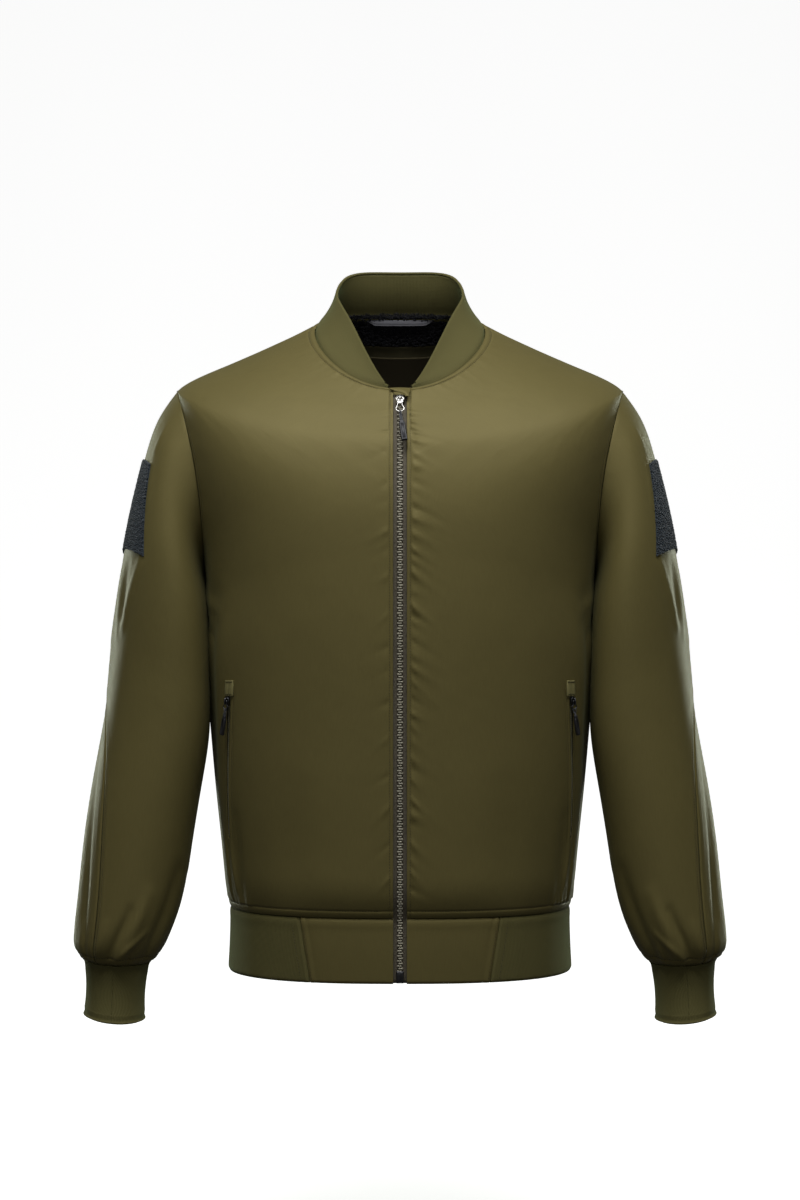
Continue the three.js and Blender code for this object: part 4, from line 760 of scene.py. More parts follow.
class Graph:
    """Builds the nodes of one procedural material."""

    def __init__(self, name: str) -> None:
        """Starts a material of the given name."""
        self.material = bpy.data.materials.new(name)
        self.material.use_nodes = True
        self.tree = self.material.node_tree
        self.shader = self.tree.nodes["Principled BSDF"]
        self.cloth = self.node("ShaderNodeUVMap", uv_map="cloth").outputs["UV"]
        self.space = self.node("ShaderNodeTexCoord").outputs["Object"]

    def node(self, kind: str, **settings) -> bpy.types.Node:
        """A new node with its settings."""
        node = self.tree.nodes.new(kind)
        for key, value in settings.items():
            setattr(node, key, value)
        return node

    def plug(self, value, socket: Socket) -> None:
        """Sets a socket, or links it where the value is another node's output."""
        if isinstance(value, Socket):
            self.tree.links.new(value, socket)
        else:
            socket.default_value = value

    def maths(self, operation: str, first, second=0.0, clamp: bool = False) -> Socket:
        """A sum on one or two values.

        Args:
            operation: The Math node's operation.
            first: A number or an output.
            second: A number or an output.
            clamp: True keeps the result from 0 to 1.

        Returns:
            The result's output.
        """
        node = self.node("ShaderNodeMath", operation=operation, use_clamp=clamp)
        self.plug(first, node.inputs[0])
        self.plug(second, node.inputs[1])
        return node.outputs[0]

    def scaled(self, vector: Socket, scale: Triple) -> Socket:
        """Coordinates stretched along their axes."""
        node = self.node("ShaderNodeMapping")
        self.plug(vector, node.inputs["Vector"])
        node.inputs["Scale"].default_value = scale
        return node.outputs[0]

    def line(self, value: Socket, slope: float, start: float) -> Socket:
        """A value times a slope, plus a start."""
        return self.maths("ADD", self.maths("MULTIPLY", value, slope), start)

    def noise(self, vector: Socket, size: float, detail: float = 2, rough: float = 0.5) -> Socket:
        """Soft noise.

        Args:
            vector: Coordinates in metres.
            size: The size of its lumps, in millimetres.
            detail: How many finer layers it has.
            rough: How strong the finer layers are.

        Returns:
            The noise, from 0 to 1.
        """
        node = self.node("ShaderNodeTexNoise")
        self.plug(vector, node.inputs["Vector"])
        node.inputs["Scale"].default_value = 1 / (size * MM)
        node.inputs["Detail"].default_value = detail
        node.inputs["Roughness"].default_value = rough
        return node.outputs["Fac"]

    def waves(self, vector: Socket, axis: str, pitch: float) -> Socket:
        """A sine wave along one axis, from -1 to 1, its pitch in millimetres."""
        parts = self.node("ShaderNodeSeparateXYZ")
        self.plug(vector, parts.inputs[0])
        turns = self.maths("MULTIPLY", parts.outputs[axis], 2 * math.pi / (pitch * MM))
        return self.maths("SINE", turns)

    def shade(self, value: Socket, colour: Triple, dark: Pair, light: Pair) -> None:
        """Gives the shader a colour that grows lighter along a value.

        Args:
            value: The value, from 0 to 1.
            colour: The colour in the middle.
            dark: The value at which the colour is darkest, and by how much it is multiplied there.
            light: The same for the lightest.
        """
        node = self.node("ShaderNodeValToRGB")
        for element, (place, by) in zip(node.color_ramp.elements, (dark, light)):
            element.position = place
            element.color = (*(min(1.0, part * by) for part in colour), 1)
        self.plug(value, node.inputs[0])
        self.plug(node.outputs["Color"], self.shader.inputs["Base Color"])

    def bumps(self, heights: Sequence[tuple[Socket, float]]) -> None:
        """Stacks bumps on the shader's normal, each a height from 0 to 1 and its rise in millimetres."""
        normal = None
        for height, rise in heights:
            node = self.node("ShaderNodeBump")
            node.inputs["Distance"].default_value = rise * MM
            self.plug(height, node.inputs["Height"])
            if normal is not None:
                self.plug(normal, node.inputs["Normal"])
            normal = node.outputs["Normal"]
        self.plug(normal, self.shader.inputs["Normal"])

    def set(self, **values: float | Socket | Sequence[float]) -> None:
        """Sets the shader's own inputs, by their names with underscores."""
        for key, value in values.items():
            self.plug(value, self.shader.inputs[key.replace("_", " ")])


@dataclass(frozen=True)
class NylonFinish:
    """Smooth close-woven nylon with a soft sheen."""

    name: str = "olive_nylon"
    colour: Triple = (0.118, 0.099, 0.035)
    roughness: float = 0.5
    thread: float = 0.55
    crumple: float = 0.35

    def make(self) -> Material:
        """The material."""
        graph = Graph(self.name)
        cloud = graph.noise(graph.cloth, 120, 3)
        slub = graph.noise(graph.scaled(graph.cloth, (1, 0.12, 1)), 1.4, 2)
        mixed = graph.line(cloud, 0.6, graph.maths("MULTIPLY", slub, 0.4))
        graph.shade(mixed, self.colour, (0.3, 0.9), (0.7, 1.1))
        graph.set(Roughness=graph.line(slub, 0.1, self.roughness - 0.05))
        warp = graph.waves(graph.cloth, "X", self.thread)
        weft = graph.waves(graph.cloth, "Y", self.thread)
        weave = graph.line(graph.maths("MULTIPLY", warp, weft), 0.5, 0.5)
        crumple = graph.noise(graph.scaled(graph.cloth, (1, 0.6, 1)), 22, 3, 0.45)
        graph.bumps([(weave, 0.03), (slub, 0.04), (crumple, self.crumple)])
        graph.set(Sheen_Weight=0.04, Sheen_Roughness=0.4, Specular_IOR_Level=0.42)
        graph.set(Specular_Tint=(1.0, 0.86, 0.42, 1), Sheen_Tint=(0.8, 0.95, 0.6, 1))
        return graph.material


@dataclass(frozen=True)
class RibFinish:
    """Fine rib knit, with painted shade in the troughs between its ribs."""

    name: str = "olive_rib"
    colour: Triple = (0.106, 0.095, 0.032)
    pitch: float = 1.5

    def make(self) -> Material:
        """The material."""
        graph = Graph(self.name)
        wobble = graph.noise(graph.cloth, 9, 2)
        parts = graph.node("ShaderNodeSeparateXYZ")
        graph.plug(graph.cloth, parts.inputs[0])
        across = graph.line(wobble, 0.0004, parts.outputs["X"])
        wave = graph.maths("SINE", graph.maths("MULTIPLY", across, 2 * math.pi / (self.pitch * MM)))
        rib = graph.line(wave, 0.5, 0.5)
        stitch = graph.line(graph.waves(graph.cloth, "Y", 1.1), 0.5, 0.5)
        fuzz = graph.noise(graph.cloth, 0.7, 3, 0.65)
        cloud = graph.noise(graph.cloth, 60, 2)
        # Lighter on the ribs' crests and darker in their troughs: painted shade in the knit's grooves. The
        # fuzz and the cloud add random tone.
        mixed = graph.line(rib, 0.35, graph.line(fuzz, 0.4, graph.maths("MULTIPLY", cloud, 0.25)))
        graph.shade(mixed, self.colour, (0.2, 0.8), (0.8, 1.15))
        graph.bumps([(rib, 0.16), (stitch, 0.06), (fuzz, 0.1)])
        graph.set(Roughness=0.85, Sheen_Weight=0.12, Sheen_Roughness=0.35, Specular_IOR_Level=0.2)
        graph.set(Sheen_Tint=(0.6, 0.85, 0.4, 1))
        return graph.material


@dataclass(frozen=True)
class FibreFinish:
    """Matt fibres, for pile, fleece, thread and tape."""

    name: str
    colour: Triple
    roughness: float = 0.9
    sheen: float = 0.4
    grain: float = 0.8

    def make(self) -> Material:
        """The material."""
        graph = Graph(self.name)
        fibre = graph.noise(graph.space, self.grain, 3, 0.65)
        graph.shade(fibre, self.colour, (0.3, 0.6), (0.7, 1.5))
        graph.bumps([(fibre, 0.12)])
        graph.set(Roughness=self.roughness, Specular_IOR_Level=0.2)
        graph.set(Sheen_Weight=self.sheen, Sheen_Roughness=0.5)
        return graph.material


@dataclass(frozen=True)
class TapeFinish:
    """Woven tape with fine slanting ribs, and painted shade in the hollows of its weave."""

    name: str
    colour: Triple
    pitch: float = 1.0

    def make(self) -> Material:
        """The material."""
        graph = Graph(self.name)
        across = graph.waves(graph.cloth, "X", self.pitch)
        along = graph.waves(graph.cloth, "Y", self.pitch * 0.8)
        weave = graph.line(graph.maths("MULTIPLY", across, along), 0.5, 0.5)
        # Lighter where the weave rises and darker where it sinks: painted shade in the weave.
        graph.shade(weave, self.colour, (0.1, 0.72), (0.9, 1.2))
        graph.bumps([(weave, 0.15)])
        graph.set(Roughness=0.72, Sheen_Weight=0.2, Specular_IOR_Level=0.3)
        return graph.material


@dataclass(frozen=True)
class MetalFinish:
    """Plated zip metal, worn a little unevenly."""

    name: str
    colour: Triple
    roughness: float = 0.28

    def make(self) -> Material:
        """The material."""
        graph = Graph(self.name)
        haze = graph.noise(graph.space, 2.5, 4, 0.6)
        graph.shade(haze, self.colour, (0.3, 0.8), (0.7, 1.1))
        graph.bumps([(graph.noise(graph.space, 0.5, 2), 0.02)])
        graph.set(Metallic=1.0, Roughness=graph.line(haze, 0.2, self.roughness - 0.1))
        return graph.material


@dataclass(frozen=True)
class MouldedFinish:
    """Moulded plastic or rubber with a faint grain."""

    name: str
    colour: Triple
    roughness: float = 0.5

    def make(self) -> Material:
        """The material."""
        graph = Graph(self.name)
        grain = graph.noise(graph.space, 0.6, 2)
        scuff = graph.noise(graph.space, 5, 3, 0.6)
        graph.shade(scuff, self.colour, (0.3, 0.85), (0.75, 1.25))
        graph.bumps([(grain, 0.03)])
        graph.set(Roughness=self.roughness, Specular_IOR_Level=0.5)
        return graph.material


class Finishes:
    """Every finish of the jacket, made once."""

    def __init__(self) -> None:
        """Makes the materials."""
        self.nylon = NylonFinish().make()
        self.rib = RibFinish().make()
        self.pile = FibreFinish("navy_pile", (0.019, 0.028, 0.036), sheen=0.3).make()
        self.fleece = FibreFinish("black_fleece", (0.006, 0.006, 0.008), sheen=0.08).make()
        # The thread is about half as light as the shell: its own olive, darkened with painted shade of the
        # grooves that the stitch rows sit in.
        self.thread = FibreFinish("olive_thread_painted_shade", (0.055, 0.046, 0.018), 0.6, 0.05, 0.4).make()
        self.tape = TapeFinish("taupe_tape", (0.105, 0.09, 0.062)).make()
        self.grey_tape = TapeFinish("grey_tape", (0.1, 0.1, 0.112), 1.4).make()
        self.facing = NylonFinish("facing", (0.055, 0.05, 0.028), 0.6, 0.8, 0.2).make()
        self.label = NylonFinish("label", (0.022, 0.018, 0.012), 0.5, 0.6, 0.15).make()
        self.teeth = MouldedFinish("zip_teeth", (0.3, 0.28, 0.21), 0.34).make()
        self.pocket_teeth = MouldedFinish("pocket_teeth", (0.2, 0.19, 0.11), 0.4).make()
        self.tab = NylonFinish("pocket_tab", (0.2, 0.18, 0.075), 0.5, 0.8, 0.3).make()
        self.cord = FibreFinish("grey_cord", (0.05, 0.052, 0.058), 0.8, 0.3, 0.5).make()
        self.pocket_tape = TapeFinish("pocket_tape", (0.04, 0.036, 0.026)).make()
        self.nickel = MetalFinish("nickel", (0.62, 0.61, 0.58)).make()
        self.gunmetal = MetalFinish("gunmetal", (0.08, 0.08, 0.085), 0.36).make()
        self.rubber = MouldedFinish("black_rubber", (0.012, 0.012, 0.015)).make()


def wear(piece: Piece, material: Material, slot: str, body: str = BODY) -> Piece:
    """Gives a piece its material and lets it ride on a body."""
    piece.data.materials.clear()
    piece.data.materials.append(material)
    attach(piece, body)
    LOG.info("%s: %d faces", piece.name, len(piece.data.polygons))
    return piece


def flat_size(grid: Array) -> tuple[Pair, float]:
    """The cut size of a sheet, from the lengths on its cloth.

    Args:
        grid: Points as [row, column, xyz], in millimetres.

    Returns:
        The (width, length) of the cut's rectangle and its flat area, in metres.
    """
    width = np.linalg.norm(np.diff(grid, axis=1), axis=2).sum(axis=1)
    length = np.linalg.norm(np.diff(grid, axis=0), axis=2).sum(axis=0)
    cross = np.cross(np.diff(grid, axis=0)[:, :-1], np.diff(grid, axis=1)[:-1])
    area = np.linalg.norm(cross, axis=2).sum()
    cut = (float(width.max()) * MM, float(length.max()) * MM)
    return cut, float(min(area * MM * MM, cut[0] * cut[1]))


@dataclass(frozen=True)
class Cloth:
    """What a sheet is cut from: its material, its slot and its wall."""

    material: Material
    slot: str
    wall: float


def add_sheet(
    name: str, node: str, grid: Array, cloth: Cloth,
    outward: bool = True, drop: Array | None = None,
) -> None:
    """Args:
        name: The piece's name.
        node: The node that it replaces.
        grid: Its outer points, in millimetres.
        cloth: What it is cut from.
        outward: False turns the faces round.
        drop: Cells to leave open, as [row, column].
    """
    piece = sheet_object(name, grid, cloth.wall, outward, drop)
    wear(piece, cloth.material, cloth.slot)
    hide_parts(node)
    cut, area = flat_size(grid)


def placed(point: Sequence[float], normal: Sequence[float], upward: Sequence[float]) -> Matrix:
    """A frame whose -Y faces out and whose Z runs up a surface, from millimetres to metres.

    Args:
        point: Its origin, in millimetres.
        normal: The surface's outward normal.
        upward: The direction that its Z follows.

    Returns:
        The matrix that takes millimetres in the frame to metres.
    """
    back = -Vector(normal).normalized()
    up = Vector(upward)
    up = (up - back * up.dot(back)).normalized()
    turn = Matrix((back.cross(up), back, up)).transposed().to_4x4()
    return Matrix.Translation(Vector(point) * MM) @ turn @ Matrix.Scale(MM, 4)


def small_mesh(name: str, build: Callable[[Bmesh], None]) -> Mesh:
    """A mesh in millimetres, made by the given steps, with its faces outward."""
    bm = bmesh.new()
    build(bm)
    bmesh.ops.recalc_face_normals(bm, faces=bm.faces)
    mesh = bpy.data.meshes.new(name)
    bm.to_mesh(mesh)
    bm.free()
    return mesh


def linked(mesh: Mesh, matrix: Matrix | None = None) -> Piece:
    """An object for a mesh, which takes the matrix itself so that the object stays unturned."""
    if matrix is not None:
        mesh.transform(matrix)
    mesh.shade_smooth()
    piece = bpy.data.objects.new(mesh.name, mesh)
    bpy.context.scene.collection.objects.link(piece)
    return piece


def block(
    bm: Bmesh,
    size: Triple,
    centre: Triple = (0, 0, 0),
    bevel: float = 0.4,
    segments: int = 2,
) -> None:
    """Adds a box with rounded edges.

    Args:
        bm: The mesh that it joins.
        size: Its width, depth and height.
        centre: Its middle.
        bevel: The radius of its edges.
        segments: How many steps the rounding has.
    """
    verts = bmesh.ops.create_cube(bm, size=1)["verts"]
    bmesh.ops.scale(bm, vec=size, verts=verts)
    bmesh.ops.translate(bm, vec=centre, verts=verts)
    edges = list({edge for vert in verts for edge in vert.link_edges})
    bmesh.ops.bevel(bm, geom=edges, offset=bevel, segments=segments, profile=0.5, affect="EDGES", material=-1)


def tube(bm: Bmesh, path: Sequence[Vector], radius: float, sides: int = 10) -> None:
    """Adds a round bar along a path.

    Args:
        bm: The mesh that it joins.
        path: Points along its middle.
        radius: Its radius.
        sides: How many sides it has.
    """
    rings = []
    last = len(path) - 1
    for i, place in enumerate(path):
        ahead = path[min(i + 1, last)] - path[max(i - 1, 0)]
        turn = ahead.to_track_quat("Z", "Y").to_matrix().to_4x4()
        matrix = Matrix.Translation(place) @ turn
        cap = i in (0, last)
        ring = bmesh.ops.create_circle(bm, cap_ends=cap, segments=sides, radius=radius, matrix=matrix)
        rings.append(list({edge for vert in ring["verts"] for edge in vert.link_edges}))
    for low, high in zip(rings, rings[1:]):
        bmesh.ops.bridge_loops(bm, edges=low + high)


def smooth_path(corners: Sequence[Triple], steps: int) -> list[Vector]:
    """Points along a smooth curve through the given ones."""
    given = np.array(corners, float)
    along = np.concatenate([[0], np.cumsum(np.linalg.norm(np.diff(given, axis=0), axis=1))])
    even = np.linspace(0, along[-1], steps)
    curves = [Curve(along, given[:, axis]).at(even) for axis in range(3)]
    return [Vector(place) for place in np.stack(curves, axis=-1)]


def scattered(name: str, shapes: Sequence[Mesh], places: Sequence[Matrix]) -> Piece:
    """One piece that repeats small shapes in turn.

    Args:
        name: The piece's name.
        shapes: The shapes, in millimetres.
        places: Where each copy stands.

    Returns:
        The object.
    """
    bm = bmesh.new()
    for i, place in enumerate(places):
        copy = shapes[i % len(shapes)].copy()
        copy.transform(place)
        bm.from_mesh(copy)
        bpy.data.meshes.remove(copy)
    mesh = bpy.data.meshes.new(name)
    bm.to_mesh(mesh)
    bm.free()
    return linked(mesh)


def places_along(line: Array, normals: Array, pitch: float, sunk: float = 0.0) -> list[Matrix]:
    """Frames at even steps along a line on a surface: Z runs along the line and -Y faces out.

    Args:
        line: Points of the line, close together, in millimetres.
        normals: The surface's outward normals at them.
        pitch: The way from frame to frame.
        sunk: How far the frames lie under the surface.

    Returns:
        The frames.
    """
    along = np.concatenate([[0], np.cumsum(np.linalg.norm(np.diff(line, axis=0), axis=1))])
    count = max(1, int(along[-1] / pitch))
    even = (np.arange(count) + 0.5) * along[-1] / count

    def at(values: Array, ways: Array) -> Array:
        """The values at given ways along the line."""
        return np.stack([np.interp(ways, along, values[:, axis]) for axis in range(3)], axis=-1)

    spots, outs = at(line, even), at(normals, even)
    ahead = at(line, even + 0.5) - at(line, even - 0.5)
    return [placed(spot - out * sunk, out, run) for spot, out, run in zip(spots, outs, ahead)]


def tuft_mesh() -> Mesh:
    """One small tuft, a flattened ball of a few faces."""

    def ball(bm: Bmesh) -> None:
        """The ball, about a millimetre across."""
        bmesh.ops.create_icosphere(bm, subdivisions=1, radius=1)
        bmesh.ops.scale(bm, vec=(1, 0.75, 0.8), verts=bm.verts)

    return small_mesh("tuft", ball)


def tipped(chance: np.random.Generator, spin: Pair, tip: Pair) -> Matrix:
    """A random turn about Y and tip about X, each between two angles in radians."""
    turn = Matrix.Rotation(chance.uniform(*spin), 4, "Y")
    return turn @ Matrix.Rotation(chance.uniform(*tip), 4, "X")


def tuft_places(spots: Array, outs: Array, size: float, chance: np.random.Generator) -> list[Matrix]:
    """Frames for tufts of about a size, each turned and grown at random."""
    places = []
    for spot, out in zip(spots, outs):
        grow = Matrix.Scale(size * chance.uniform(0.7, 1.2), 4)
        places.append(placed(spot, out, (0.01, 0.02, 1)) @ tipped(chance, (0, math.tau), (-0.5, 0.5)) @ grow)
    return places


def creases(girth: float, rows: Sequence[Sequence[float]]) -> tuple[Crease, ...]:
    """Creases of a form, each row an angle and a way up or down for both ends, a width and a height.

    Args:
        girth: Millimetres of cloth for each radian.
        rows: The creases. A last angle that is more than half a turn back lies one turn further on.

    Returns:
        The creases on the flat cloth.
    """
    made = []
    for from_turn, start, to_turn, end, wide, height in rows:
        last = to_turn + 360 if to_turn < from_turn - 180 else to_turn
        made.append(Crease((from_turn * RAD * girth, start), (last * RAD * girth, end), wide, height))
    return tuple(made)


TORSO_CREASES = creases(TORSO_GIRTH, (
    (64, 310, 71, 150, 15, -3),
    (52, 300, 60, 190, 18, 2),
    (74, 230, 78, 40, 13, -2.5),
    (30, 120, 36, 15, 16, -1.6),
    (56, 90, 58, 6, 9, -1.8),
    (66, 70, 66, 6, 8, 1.8),
    (105, 300, 98, 60, 16, -3),
    (122, 330, 112, 120, 18, 2.5),
    (140, 250, 128, 40, 20, -2.5),
    (158, 160, 152, 12, 17, 2),
    (61.5, 66, 60, 10, 3.2, 1.3),
    (64.5, 70, 64, 10, 3.4, -1.0),
    (6.5, 572, 11, 556, 4.5, 1.2),
    (12, 580, 20, 560, 5, -0.9),
    (86, 326, 60, 300, 9, 1.6),
    (88, 312, 66, 270, 8, -1.6),
    (96, 326, 124, 300, 10, 1.8),
    (172, 300, 168, 120, 22, 1.6),
    (150, 55, 128, 200, 15, 2.4),
    (171, 35, 178, 190, 16, -2.4),
    (120, 90, 140, 250, 17, 2.2),
    (112, 150, 150, 105, 13, -2.2),
    (118, 318, 150, 290, 14, 2.2),
    (98, 60, 104, 210, 11, 2.0),
    (92, 150, 96, 40, 9, -1.8),
))
SLEEVE_CREASES = creases(SLEEVE_GIRTH, (
    (84, 308, 47, 548, 6, -2.6),
    (100, 330, 72, 545, 14, 3.4),
    (70, 190, 78, 290, 9, 2.2),
    (92, 190, 92, 270, 8, -1.8),
    (300, 470, 318, 556, 10, -3),
    (336, 490, 350, 557, 9, 2.6),
    (352, 505, 8, 558, 6, -3),
    (18, 520, 22, 557, 7, 2.4),
    (130, 480, 136, 557, 9, -2.6),
    (160, 500, 168, 557, 9, 2.4),
    (196, 485, 198, 557, 9, -2.6),
    (232, 500, 232, 557, 9, 2.4),
    (262, 480, 266, 557, 8, -2.2),
    (150, 300, 215, 345, 13, -2.6),
    (155, 255, 220, 300, 14, 2),
    (50, 8, 46, 64, 2.6, 1.2),
    (41, 66, 34, 104, 2.8, 1.0),
    (27, 160, 45, 235, 4.2, 2.0),
    (60, 176, 58, 245, 4.5, 1.8),
    (88, 184, 80, 250, 5, 1.8),
    (48, 170, 50, 225, 4.0, -1.5),
    (330, 528, 2, 557, 3.6, 2.2),
    (52, 520, 49, 557, 3.4, 1.8),
))


@dataclass
class SleeveSurface(ClothSurface):
    """The left sleeve's outer face; u is the way down and v the turn in radians."""

    side: Side
    body: KDTree
    body_normals: Array
    form: SleeveForm = field(default_factory=SleeveForm)
    creases: tuple[Crease, ...] = SLEEVE_CREASES
    gathers: PuckerRow = PuckerRow(11, 0, 389, 13, 1.5, 3.6, 13)
    head: PuckerRow = PuckerRow(17, 0, 389, 17, 0.4, 4.5, 9)
    seam_clear: float = 0.25
    below_clear: float = 0.7
    step_v: float = 0.004

    def plain(self, u: Array, v: Array) -> Array:
        """Points of the plain sleeve."""
        return self.form.plain(u, v)

    def relief(self, u: Array, v: Array) -> Array:
        """Folds of the arm, gathers at the cuff and the head, and the dips of the seams."""
        u, v = np.broadcast_arrays(np.asarray(u, float), np.asarray(v, float))
        wrap = 2 * math.pi * SLEEVE_GIRTH
        across = v * SLEEVE_GIRTH
        calm = smooth01(u / 40) * (1 - 0.85 * smooth01((u - 547) / 13))
        high = sum((fold.field(across, u, wrap) for fold in self.creases), np.zeros_like(u)) * calm
        around = np.mod(across, wrap)
        high += self.gathers.field(around, SLEEVE_END - u) * smooth01((SLEEVE_END - u) / 5)
        high += self.head.field(around, u) * smooth01(u / 5)
        for seam in (self.form.outer_seam(u), UNDERARM_TURN * RAD + 0 * u):
            away = np.angle(np.exp(1j * (v - seam))) * 50
            high += (seam_dip(away, 0.8, 1.4, 0.4) + groove(np.abs(away) - 4.6, 0.3)) * smooth01(u / 12)
        high += seam_dip(SLEEVE_END - u, 1.0, 1.8, 0.4) + groove(SLEEVE_END - 7.5 - u, 0.7)
        return high

    def outer(self, u: Array, v: Array) -> Array:
        """Points of the outer face, sewn to the armhole and kept clear of the body."""
        point = self.point(u, v)
        normal = self.slope_normal(self.plain, u, v)
        clear = self.seam_clear + (self.below_clear - self.seam_clear) * smooth01(u / 35)
        flat, facing_to = point.reshape(-1, 3), normal.reshape(-1, 3)
        clear = np.broadcast_to(clear, point.shape[:-1]).reshape(-1)
        for i, place in enumerate(flat):
            if place[0] > 235:
                continue
            near, index, _ = self.body.find(place)
            toward = self.body_normals[index]
            facing = float(smooth01(-facing_to[i].dot(toward) / 0.5))
            short = clear[i] - (place - np.array(near)).dot(toward)
            if short > 0 and facing > 0:
                flat[i] = place + toward * short * facing
        head = (1 - smooth01(u / 22))[..., None]
        sewn = TORSO.armhole_point(np.asarray(v, float) + 0 * np.asarray(u, float))
        start = self.form.plain(np.zeros_like(u), v)
        return flat.reshape(point.shape) + (sewn - start) * head


class Torso:
    """Both fronts and the back."""

    def __init__(self, finishes: Finishes) -> None:
        """Sets up the surfaces of the panels."""
        self.cloth = Cloth(finishes.nylon, "olive_shell", SHELL)
        armhole = (345, 465, 11, 0.7, 2.6, 9)
        neck = (20, 250, 14, 0.45, 3.5, 9)
        self.fronts = {
            Side.LEFT: TorsoPanel(
                True,
                creases=TORSO_CREASES,
                waist=PuckerRow(3, 150, 265, 8, 1.5, 2.2, 10),
                zip_edge=PuckerRow(5, 30, 560, 14, 2.3, 2.7, 6, -0.8),
                armhole=PuckerRow(7, *armhole),
                neck=PuckerRow(27, *neck),
            ),
            Side.RIGHT: TorsoPanel(
                True,
                creases=TORSO_CREASES,
                waist=PuckerRow(4, 150, 265, 8.5, 1.5, 2.2, 10),
                zip_edge=PuckerRow(6, 40, 560, 28, 1.5, 2.7, 6, -0.8),
                armhole=PuckerRow(8, *armhole),
                neck=PuckerRow(28, *neck),
            ),
        }
        waist = PuckerRow(9, 265, 520, 11, 1.4, 2.6, 11)
        self.back = TorsoPanel(False, creases=TORSO_CREASES, waist=waist, armhole=PuckerRow(10, *armhole))
        self.ups = edge_graded(0.3, NECK_UP - 0.3, 210, FINEST_ROW)

    def front_grid(self, side: Side) -> tuple[Array, Array]:
        """The front's outer points and the cells that the pocket slit leaves open.

        Args:
            side: Which front.

        Returns:
            The grid and the mask of open cells.
        """
        gap = FINEST_SHARE * POCKET_HALF_GAP
        near = [POCKET_COLUMN + sign * gap * k for sign in (-1, 1) for k in (1, 1.5, 2.2, 3.4, 5)]
        columns = np.unique(np.round(np.concatenate([edge_graded(0, 1, 110, FINEST_SHARE), near]), 6))
        slit = (columns > POCKET_COLUMN - gap + 1e-5) & (columns < POCKET_COLUMN + gap - 1e-5)
        columns = columns[~slit]
        ups = self.ups[:, None]
        share = front_share(ups, columns[None, :])
        grid = self.fronts[side].point(np.broadcast_to(ups, share.shape), share)
        middles = (self.ups[1:] + self.ups[:-1]) / 2
        open_rows = (middles > POCKET_BOTTOM_UP) & (middles < POCKET_TOP_UP - 6)
        open_columns = (columns[:-1] < POCKET_COLUMN) & (columns[1:] > POCKET_COLUMN)
        return to_side(grid, side), open_rows[:, None] & open_columns[None, :]

    def build(self) -> None:
        """Builds the three panels."""
        for side in Side:
            grid, slit = self.front_grid(side)
            name = f"front_{side.suffix}"
            add_sheet(f"cloth_{name}", name, grid, self.cloth, side is Side.LEFT, slit)
        row = edge_graded(-PANEL_END, PANEL_END, 170, FINEST_SHARE)
        ups, shares = np.meshgrid(self.ups, row, indexing="ij")
        grid = self.back.point(ups, np.abs(shares)) * mirror_signs(shares)
        add_sheet("cloth_back", "back", grid, self.cloth, False)

    def side_samples(self, side: Side) -> tuple[KDTree, Array]:
        """A tree of points of the body's side, and their normals, for the sleeve to lie against."""
        ups, shares = np.meshgrid(np.arange(30, 420, 5.0), np.linspace(0.45, 0.995, 40), indexing="ij")
        places, normals = [], []
        for panel in (self.fronts[side], self.back):
            places.append(panel.point(ups, shares).reshape(-1, 3))
            normals.append(panel.normal(ups, shares).reshape(-1, 3))
        place = np.concatenate(places)
        tree = KDTree(len(place))
        for i, co in enumerate(place):
            tree.insert(co, i)
        tree.balance()
        return tree, np.concatenate(normals)


